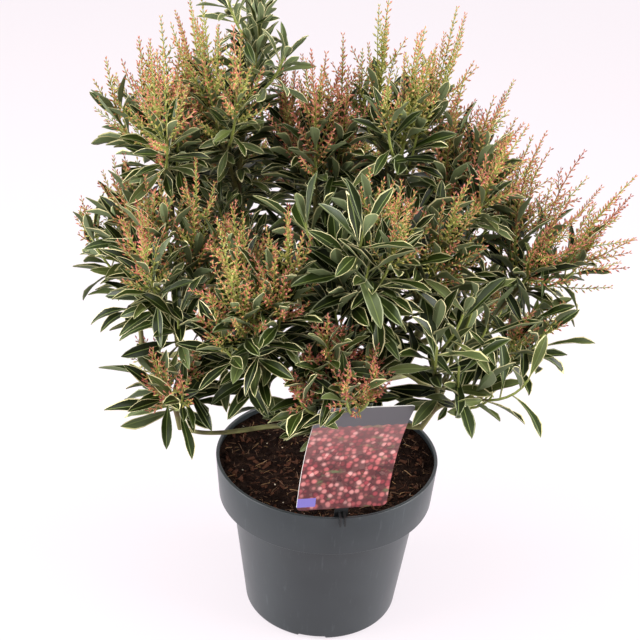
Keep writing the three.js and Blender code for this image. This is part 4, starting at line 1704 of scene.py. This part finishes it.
LEAFINGS = {
    Spray.MAIN: Leafing(27, (0.05, 0.96), 0.8, (39, 54), (88, 28)),
    Spray.SIDE: Leafing(12, (0.2, 0.97), 0.75, (36, 48), (80, 26)),
    Spray.LEAFY: Leafing(38, (0.05, 1.0), 0.85, (41, 56), (86, 10)),
    Spray.INNER: Leafing(13, (0.15, 1.0), 0.8, (39, 52), (86, 30), slack=70),
}
FLOWERINGS = {
    Spray.MAIN: Flowering(12, (1.0, 0.68), (82, 46), (2, 59), (4, 0)),
    Spray.SIDE: Flowering(6, (1.0, 0.78), (58, 36), (5, 60), (3, 0)),
}
# How often each blade finish is dealt in a mass of light 0, and how much oftener at light 1. The grey-green
# blade is painted sheen, so a mass of more light gets more painted sheen.
BLADE_WEIGHTS = ((4, -3), (4, 0), (0.4, 2.6), (0.15, 2.2))
MARGIN_WEIGHTS = (3, 3, 2)


@dataclass(frozen=True)
class RacemeRule:
    """How a raceme is made: its axis, the small racemes at its foot and its crossed pairs of buds."""

    gather: float = 0.33
    radii: tuple[float, float] = (0.65, 0.35)
    slimness: tuple[float, float] = (0.6, 150)  # its least share of the radius, and the mm that add a whole
    branch_lengths: tuple[float, float] = (0.52, 0.24)  # shares of its length, from the lowest branch up
    branch_places: tuple[float, float] = (0.06, 0.5)
    branch_leans: tuple[float, float] = (56, 42)
    branch_spread: tuple[float, float] = (0.85, 1.15)
    pair_pitch: float = 2.9  # mm between its pairs of buds
    bare_foot: float = 0.1
    bud_leans: tuple[float, float] = (54, 30)  # degrees at the foot, and how much less at the tip
    bud_taper: float = 0.4  # how much smaller the last bud is
    shake_lean: float = 14  # degrees
    shake_turn: float = 24
    shake_size: tuple[float, float] = (0.85, 0.3)  # the least, and what chance adds
    # From 0 for the greenest to 1 for the darkest finish, bud by bud.
    warmth_shares: tuple[float, float] = (0.7, 0.36)  # of the mass's warmth, and from foot to tip
    warmth_shift: float = 0.04
    warmth_spread: float = 0.22  # between racemes
    shake_warmth: float = 0.14
    cup_behind: int = 2  # how many finishes a bud's cup is greener than its tip
    stalk_weights: tuple[float, float] = (1.2, 0.7)  # of green stalks, and what warmth moves to russet


@dataclass
class Foliage:
    """One mass of foliage, grown from its foot: twigs, leaves and racemes of buds."""

    row: MassRow
    bough: Curve
    clear: KeptClear
    stem_radii: tuple[float, float] = (2.5, 2.2)
    shoot_radii: tuple[float, float] = (2.2, 1.3)
    twig_radii: tuple[float, float] = (1.3, 0.9)
    fork: float = 0.2  # of the way from the foot to the middle of the tips
    low_twigs: tuple[float, ...] = (0.97, 0.75, 0.5)  # where they leave the bough
    gather: float = 0.35
    splay: float = 0.008  # how much the tips turn out for each mm off their middle
    slack: float = 12  # mm that a raceme may pass out of the mass's space
    tries: int = 4
    retry_turn: float = 50
    shorten: float = 0.14
    sway: float = 14
    low_below: float = 300  # the height of its middle below which more leaves have broad cream tips
    creamy_shares: tuple[float, float] = (0.28, 0.08)  # in a low mass and in a higher one
    droop_leans: tuple[float, float] = (40, 60)  # where leaves arch least, and how far on most
    droop_spread: float = 0.3
    last_leaf: float = 0.78  # the size of the last leaf of a shoot, as a share of the first
    sparse_bare: float = 0.3  # how much of a shoot is bare in a mass of no fullness
    vigour: tuple[float, float] = (0.75, 1.15)  # of all the racemes of a shoot
    raceme_spread: tuple[float, float] = (0.85, 1.1)
    raceme_shares: tuple[float, float] = (0.3, 0.7)  # that grow in any mass, and that fullness adds
    side_places: tuple[float, ...] = (0.34, 0.56, 0.78)
    side_lean: float = 50
    side_lengths: tuple[float, float] = (46, 66)
    side_shorten: float = 0.1
    side_turn_in: float = 0.35  # how much of a side twig's first way its end keeps
    rule: RacemeRule = RacemeRule()
    twigs: Joined = field(default_factory=Joined)
    leaves: Joined = field(default_factory=Joined)
    racemes: Joined = field(default_factory=Joined)

    def __post_init__(self) -> None:
        """Finds the mass's space and the way its racemes bend, and starts its stream."""
        self.space = Space(self.row)
        self.stream = Stream(self.row.seed)
        self.droop = unit(outward_of(self.space.centre) * self.row.lean * 2 + UP)

    def add_twig(self, stations: Stations, radii: tuple[float, float], tints: tuple[float, float]) -> None:
        """Adds a twig along stations.

        Args:
            stations: where it runs.
            radii: its radius at its foot and its tip.
            tints: how green it is at its foot and its tip, from 0 to 1.
        """
        rings = len(stations.points) - 1
        shape = tube(7, rings)
        points = swept(shape, stations, np.linspace(*radii, rings + 1))
        starts = np.cumsum(shape.sizes) - shape.sizes
        shares = np.add.reduceat(shape.points[shape.corners, 2], starts) / shape.sizes + 0.5
        greens = tints[0] + (tints[1] - tints[0]) * shares
        slots = np.clip((greens * len(FINISHES.twigs)).astype(int), 0, len(FINISHES.twigs) - 1)
        self.twigs.add(shape, points[None], slots[None])

    def attempts(
        self, stations: Stations, share: float, turn: float, lean: float
    ) -> Iterator[tuple[int, np.ndarray, np.ndarray]]:
        """Tries places for a thing that stands on a stem, each turned on from the one before.

        Args:
            stations: the stem's stations.
            share: how far up the stem it stands.
            turn: degrees round the stem.
            lean: degrees leant out.

        Returns:
            For each attempt its number, where the thing's foot is and its frame.
        """
        at = stations.at(np.array([share]))
        for attempt in range(self.tries):
            turned = turn + self.retry_turn * attempt
            yield attempt, at.points[0], at.frames(np.array([turned]), np.array([lean]))[0]

    def add_leaf(
        self, stations: Stations, share: float, turn: float, lean: float, size: float, slack: float
    ) -> None:
        """Adds a leaf, turned on and shortened until it fits.

        Args:
            stations: the shoot's stations.
            share: how far up the shoot it stands.
            turn: degrees round the shoot.
            lean: degrees leant out.
            size: its length.
            slack: how far it may pass out of the mass's space.
        """
        low = self.row.height - self.space.foliage_drop < self.low_below
        creamy = self.stream.draw() < self.creamy_shares[0 if low else 1]
        droop = (lean - self.droop_leans[0]) / self.droop_leans[1]
        droop = min(0.999, max(0.0, droop + self.stream.between(-self.droop_spread, self.droop_spread)))
        creamy_forms = len(LEAF_FORMS) - PLAIN_FORMS
        number = PLAIN_FORMS + int(droop * creamy_forms) if creamy else int(droop * PLAIN_FORMS)
        margin = self.stream.pick(MARGIN_WEIGHTS)
        blade = self.stream.pick([dark + more * self.row.light for dark, more in BLADE_WEIGHTS])
        shape = leaf_shapes()[number]
        for attempt, foot, frame in self.attempts(stations, share, turn, lean):
            scale = size * (1 - self.shorten * attempt) / LEAF_FORMS[number].length
            points = foot + shape.points @ frame * scale
            if self.space.holds(points, -slack) and self.clear.allows(points[np.argsort(shape.points[:, 1])]):
                first = len(FINISHES.margins)
                after = first + len(FINISHES.blades)
                slots = np.array([margin, first + blade, after, after + 1])[shape.parts]
                self.leaves.add(shape, points[None], slots[None])
                return

    def add_raceme(
        self, stations: Stations, share: float, turn: float, lean: float, size: float, branches: int
    ) -> None:
        """Adds a raceme: an axis that bends up, ringed with buds, and a few small racemes at its foot.

        Args:
            stations: the shoot's stations.
            share: how far up the shoot it stands.
            turn: degrees round the shoot.
            lean: degrees leant out.
            size: its length.
            branches: how many small racemes it carries.
        """
        rule, warmth = self.rule, self.row.warmth
        for attempt, foot, (_, along, _) in self.attempts(stations, share, turn, lean):
            reach = size * (1 - self.shorten * attempt)
            end_way = unit(along + self.droop * (0.5 + 0.5 * self.row.lean) + UP * (1 - self.row.flare))
            tip = foot + unit(along + end_way) * reach
            axis = Curve.bend(foot, along, tip, end_way, rule.gather).stations(6)
            if self.space.holds(axis.points, -self.slack) and self.clear.allows(axis.points[2:], False):
                break
        else:
            return
        rings = 4 if branches else 3
        axis = axis.at(np.linspace(0, 1, rings + 1))
        shape = tube(3, rings)
        green, moved = rule.stalk_weights
        stalk = self.stream.pick((green - warmth * moved, warmth * moved))
        radii = np.linspace(*rule.radii, rings + 1) * min(1, rule.slimness[0] + size / rule.slimness[1])
        slots = np.full((1, len(shape.sizes)), len(FINISHES.buds) + stalk)
        self.racemes.add(shape, swept(shape, axis, radii)[None], slots)
        self.add_buds(axis, reach)
        first = self.stream.between(0, 360)
        for number in range(branches):
            order = number / max(1, branches - 1)
            length = reach * lerp(*rule.branch_lengths, order) * self.stream.between(*rule.branch_spread)
            place, lean = lerp(*rule.branch_places, order), lerp(*rule.branch_leans, order)
            self.add_raceme(axis, place, first + number * GOLDEN_ANGLE, lean, length, 0)

    def add_buds(self, axis: Stations, reach: float) -> None:
        """Rings a raceme's axis with buds.

        Args:
            axis: the raceme's stations.
            reach: its length.
        """
        rule, shape = self.rule, bud_shape()
        full = 1 - rule.bare_foot
        pairs = max(3, round(reach * full / rule.pair_pitch))
        pair = np.repeat(np.arange(pairs), 2)
        count, order = len(pair), pair / (pairs - 1)
        at = axis.at(rule.bare_foot + full * order)
        turns = self.stream.between(0, 360) + 180 * np.arange(count) + 90 * pair
        shakes = np.array([self.stream.draw() for _ in range(count)])
        leans = rule.bud_leans[0] - rule.bud_leans[1] * order**2 + rule.shake_lean * (shakes - 0.5)
        frames = at.frames(turns + rule.shake_turn * (shakes - 0.5), leans)
        scales = (1 - rule.bud_taper * order**2) * (rule.shake_size[0] + rule.shake_size[1] * shakes)
        points = at.points[:, None] + np.einsum("pk,nkj->npj", shape.points, frames) * scales[:, None, None]
        warmth = rule.warmth_shares[0] * self.row.warmth + rule.warmth_shares[1] * order - rule.warmth_shift
        warmth = warmth + self.stream.between(-rule.warmth_spread, rule.warmth_spread)
        warmth = warmth + rule.shake_warmth * (shakes - 0.5)
        tips = np.clip((warmth * len(FINISHES.buds)).astype(int), 0, len(FINISHES.buds) - 1)
        tints = np.stack([np.maximum(tips - rule.cup_behind, 0), tips], axis=1)
        self.racemes.add(shape, points, tints[:, shape.parts])

    def furnish(self, stations: Stations, spray: Spray) -> None:
        """Puts the leaves and racemes on a shoot, by the part's golden-angle rule.

        Args:
            stations: the shoot's stations.
            spray: which kind of shoot it is.
        """
        leafing, flowering = LEAFINGS[spray], FLOWERINGS.get(spray)
        first = self.stream.between(0, 360)
        count = round(leafing.count * self.row.fullness)
        bare = max(leafing.span[0], self.sparse_bare * (1 - self.row.fullness))
        for number in range(count):
            order = number / (count - 1)
            size = self.stream.between(*leafing.sizes) * self.row.leaf * lerp(1, self.last_leaf, order**4)
            lean = lerp(*leafing.leans, order) + self.sway * (self.stream.draw() - 0.5)
            share = lerp(bare, leafing.span[1], order**leafing.spacing)
            self.add_leaf(stations, share, first + number * GOLDEN_ANGLE, lean, size, leafing.slack)
        if not flowering:
            return
        first, vigour = self.stream.between(0, 360), self.stream.between(*self.vigour)
        always, filled = self.raceme_shares
        count = round(flowering.count * (always + filled * self.row.fullness))
        for number in range(count):
            order = number / (count - 1)
            size = lerp(*flowering.sizes, order**flowering.shrink) * self.row.plume * vigour
            size *= self.stream.between(*self.raceme_spread)
            share = lerp(*flowering.span, order)
            lean = lerp(*flowering.leans, order**flowering.lean_out) * self.row.flare
            branches = flowering.branches[min(number, 1)]
            self.add_raceme(stations, share, first + number * GOLDEN_ANGLE, lean, size, branches)

    def side_twigs(self, stations: Stations, shares: Sequence[float], spray: Spray, spare: float) -> None:
        """Grows side twigs, each turned on and shortened until it fits.

        Args:
            stations: the stations of the shoot or bough that carries them.
            shares: how far along it each stands.
            spray: how they are furnished.
            spare: the room that they keep to the planes of the mass's space.
        """
        first = self.stream.between(0, 360)
        for number, share in enumerate(shares):
            tried = self.attempts(stations, share, first + number * 180, self.side_lean)
            for attempt, foot, (_, along, _) in tried:
                length = self.stream.between(*self.side_lengths) * (1 - self.side_shorten * attempt)
                end_way = unit(along * self.side_turn_in + UP)
                tip = foot + unit(along + end_way) * length
                twig = Curve.bend(foot, along, tip, end_way, self.gather).stations(7)
                if self.space.holds(twig.points, spare) and self.clear.allows(twig.points[2:], False):
                    self.add_twig(twig, self.twig_radii, (0.5, 1))
                    self.furnish(twig, spray)
                    break

    def grow(self) -> None:
        """Grows the mass by the part's rule from foot through fork to tips, and on to side twigs."""
        space, foot, tips = self.space, self.space.foot(), self.space.tips()
        middle = np.mean(tips, axis=0)
        fork = foot + space.way * self.fork * np.linalg.norm(middle - foot)
        stem = Curve.bend(foot - space.way * 2, space.way, fork + space.way * 2, space.way, self.gather)
        self.add_twig(stem.stations(5), self.stem_radii, (0.4, 0.5))
        self.side_twigs(self.bough.stations(20), self.low_twigs[: self.row.low_twigs], Spray.INNER, -60)
        for number, tip in enumerate(tips):
            leafy = number in self.row.leafy
            end_way = unit((tip - middle) * self.splay + space.way + UP)
            end = tip + end_way * self.row.rise if leafy else tip
            stations = Curve.bend(fork, space.way, end, end_way, self.gather).stations(14)
            if not leafy:
                stations = stations.at(np.linspace(0, self.row.bloom, 15))
            self.add_twig(stations, self.shoot_radii, (0.2, 0.95))
            self.furnish(stations, Spray.LEAFY if leafy else Spray.MAIN)
            places, kind = (self.side_places, Spray.INNER) if leafy else (self.side_places[:2], Spray.SIDE)
            self.side_twigs(stations, places, kind, 4)

    def build(self) -> None:
        """Grows, models and installs the mass's pieces: two if no shoot flowers, or else three."""
        self.grow()
        name = self.row.name
        leaf_finishes = [*FINISHES.margins, *FINISHES.blades, FINISHES.rib, FINISHES.underside]
        for kind, joined, finishes, crease in (
            ("twigs", self.twigs, FINISHES.twigs, 60),
            ("leaves", self.leaves, leaf_finishes, 55),
            ("racemes", self.racemes, [*FINISHES.buds, *FINISHES.stalks], 80),
        ):
            if joined.count:
                install(joined.build(f"{kind}_{name}", finishes, crease), f"foliage_{name}")


@lru_cache(maxsize=None)
def leaf_shapes() -> tuple[Shape, ...]:
    """Returns the shapes of all the leaf forms, built once."""
    return tuple(form.build() for form in LEAF_FORMS)


@lru_cache(maxsize=None)
def bud_shape() -> Shape:
    """Returns the shape of a bud, built once."""
    return BudForm().build()


# ---------------------------------------------------------------- the studio


@dataclass
class Studio:
    """A pale floor, soft light from above and in front, and a camera that looks down at the plant."""

    camera_place: tuple[float, float, float] = (-12.03, -858.73, 724.94)
    pitch: float = -26.491
    roll: float = 2.622
    lens: float = 61.875
    sensor: float = 36
    floor_size: float = 16000
    floor_colour: str = "#5a5759"
    sky_colour: str = "#fdf9fb"
    aim_height: float = 300
    # Name, place, width and watts of each lamp.
    lamps: tuple[tuple[str, tuple[float, float, float], float, float], ...] = (
        ("top_light", (-200, -500, 2200), 1500, 38),
        ("left_light", (-1900, -500, 900), 1400, 84),
        ("right_light", (1900, -400, 900), 1300, 78),
    )

    def floor(self) -> None:
        """Lays the floor."""
        bm = bmesh.new()
        bmesh.ops.create_grid(bm, x_segments=1, y_segments=1, size=self.floor_size / 2)
        finish = Finish("lit_white_acrylic", self.floor_colour, roughness=0.9, glow=7.65)
        write_mesh(bm, "floor", [finish])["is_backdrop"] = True

    def lamp(self, name: str, place: tuple[float, float, float], size: float, power: float) -> None:
        """Adds a square soft light that faces the middle of the plant.

        Args:
            name: its name.
            place: where it hangs.
            size: how wide it is.
            power: its power in watts.
        """
        data = bpy.data.lights.new(name, "AREA")
        data.shape, data.size, data.energy = "SQUARE", size * MM, power
        lamp = placed(name, data)
        lamp.location = Vector(place) * MM
        aim = Vector((0, 0, self.aim_height * MM)) - lamp.location
        lamp.rotation_euler = aim.to_track_quat("-Z", "Y").to_euler()

    def camera(self) -> None:
        """Sets up the camera."""
        data = bpy.data.cameras.new("camera")
        data.lens, data.sensor_width = self.lens, self.sensor
        data.clip_start, data.clip_end = 0.05, 50
        camera = placed("camera", data)
        tilt = Matrix.Rotation(math.radians(90 + self.pitch), 4, "X")
        camera.matrix_world = (
            Matrix.Translation(Vector(self.camera_place) * MM) @ tilt
            @ Matrix.Rotation(math.radians(self.roll), 4, "Z")
        )
        bpy.context.scene.camera = camera

    def build(self) -> None:
        """Sets up the floor, the world, the lights and the camera."""
        self.floor()
        world = bpy.data.worlds.new("studio")
        world.use_nodes = True
        tree = world.node_tree
        tree.nodes.clear()
        place = add_node(tree, "ShaderNodeTexCoord").outputs["Generated"]
        split = add_node(tree, "ShaderNodeSeparateXYZ", {0: place})
        behind = add_node(tree, "ShaderNodeMapRange", {
            "Value": split.outputs["Y"], "From Min": -0.95, "From Max": 0.25, "To Min": 0.32, "To Max": 1.2,
        })
        aside = add_node(tree, "ShaderNodeMath", {0: split.outputs["X"]}, operation="ABSOLUTE")
        beside = add_node(tree, "ShaderNodeMapRange", {
            "Value": aside.outputs[0], "From Min": 0.5, "To Max": 1.1,
        })
        strength = add_node(tree, "ShaderNodeMath", {
            0: behind.outputs[0], 1: beside.outputs[0],
        }, operation="ADD")
        sky = add_node(tree, "ShaderNodeBackground", {
            "Color": linear(self.sky_colour), "Strength": strength.outputs[0],
        })
        add_node(tree, "ShaderNodeOutputWorld", {"Surface": sky.outputs["Background"]})
        bpy.context.scene.world = world
        for lamp in self.lamps:
            self.lamp(*lamp)
        self.camera()
        bpy.context.scene.view_settings.view_transform = "Standard"


def main() -> None:
    """Builds every piece in order."""
    logging.basicConfig(level=logging.INFO, format="%(name)s: %(message)s")
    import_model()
    cad_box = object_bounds()
    pot = Pot()
    pot.build()
    Peat(pot).build()
    label = Label(pot)
    label.build()
    wood = Wood()
    wood.grow()
    wood.build()
    low_corner, high_corner = (np.array(corner) / MM for corner in cad_box)
    clear = KeptClear(pot, label, *wood.axis_points(), low_corner + 4, high_corner + 3)
    for row in MASSES:
        Foliage(row, wood.limbs[f"bough_{row.name}"].curve, clear).build()
    Studio().build()
    sizes = {"cad": cad_box, "visual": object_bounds()}
    {name: [list(map(float, corner)) for corner in box] for name, box in sizes.items()}


if __name__ == "__main__":
    main()
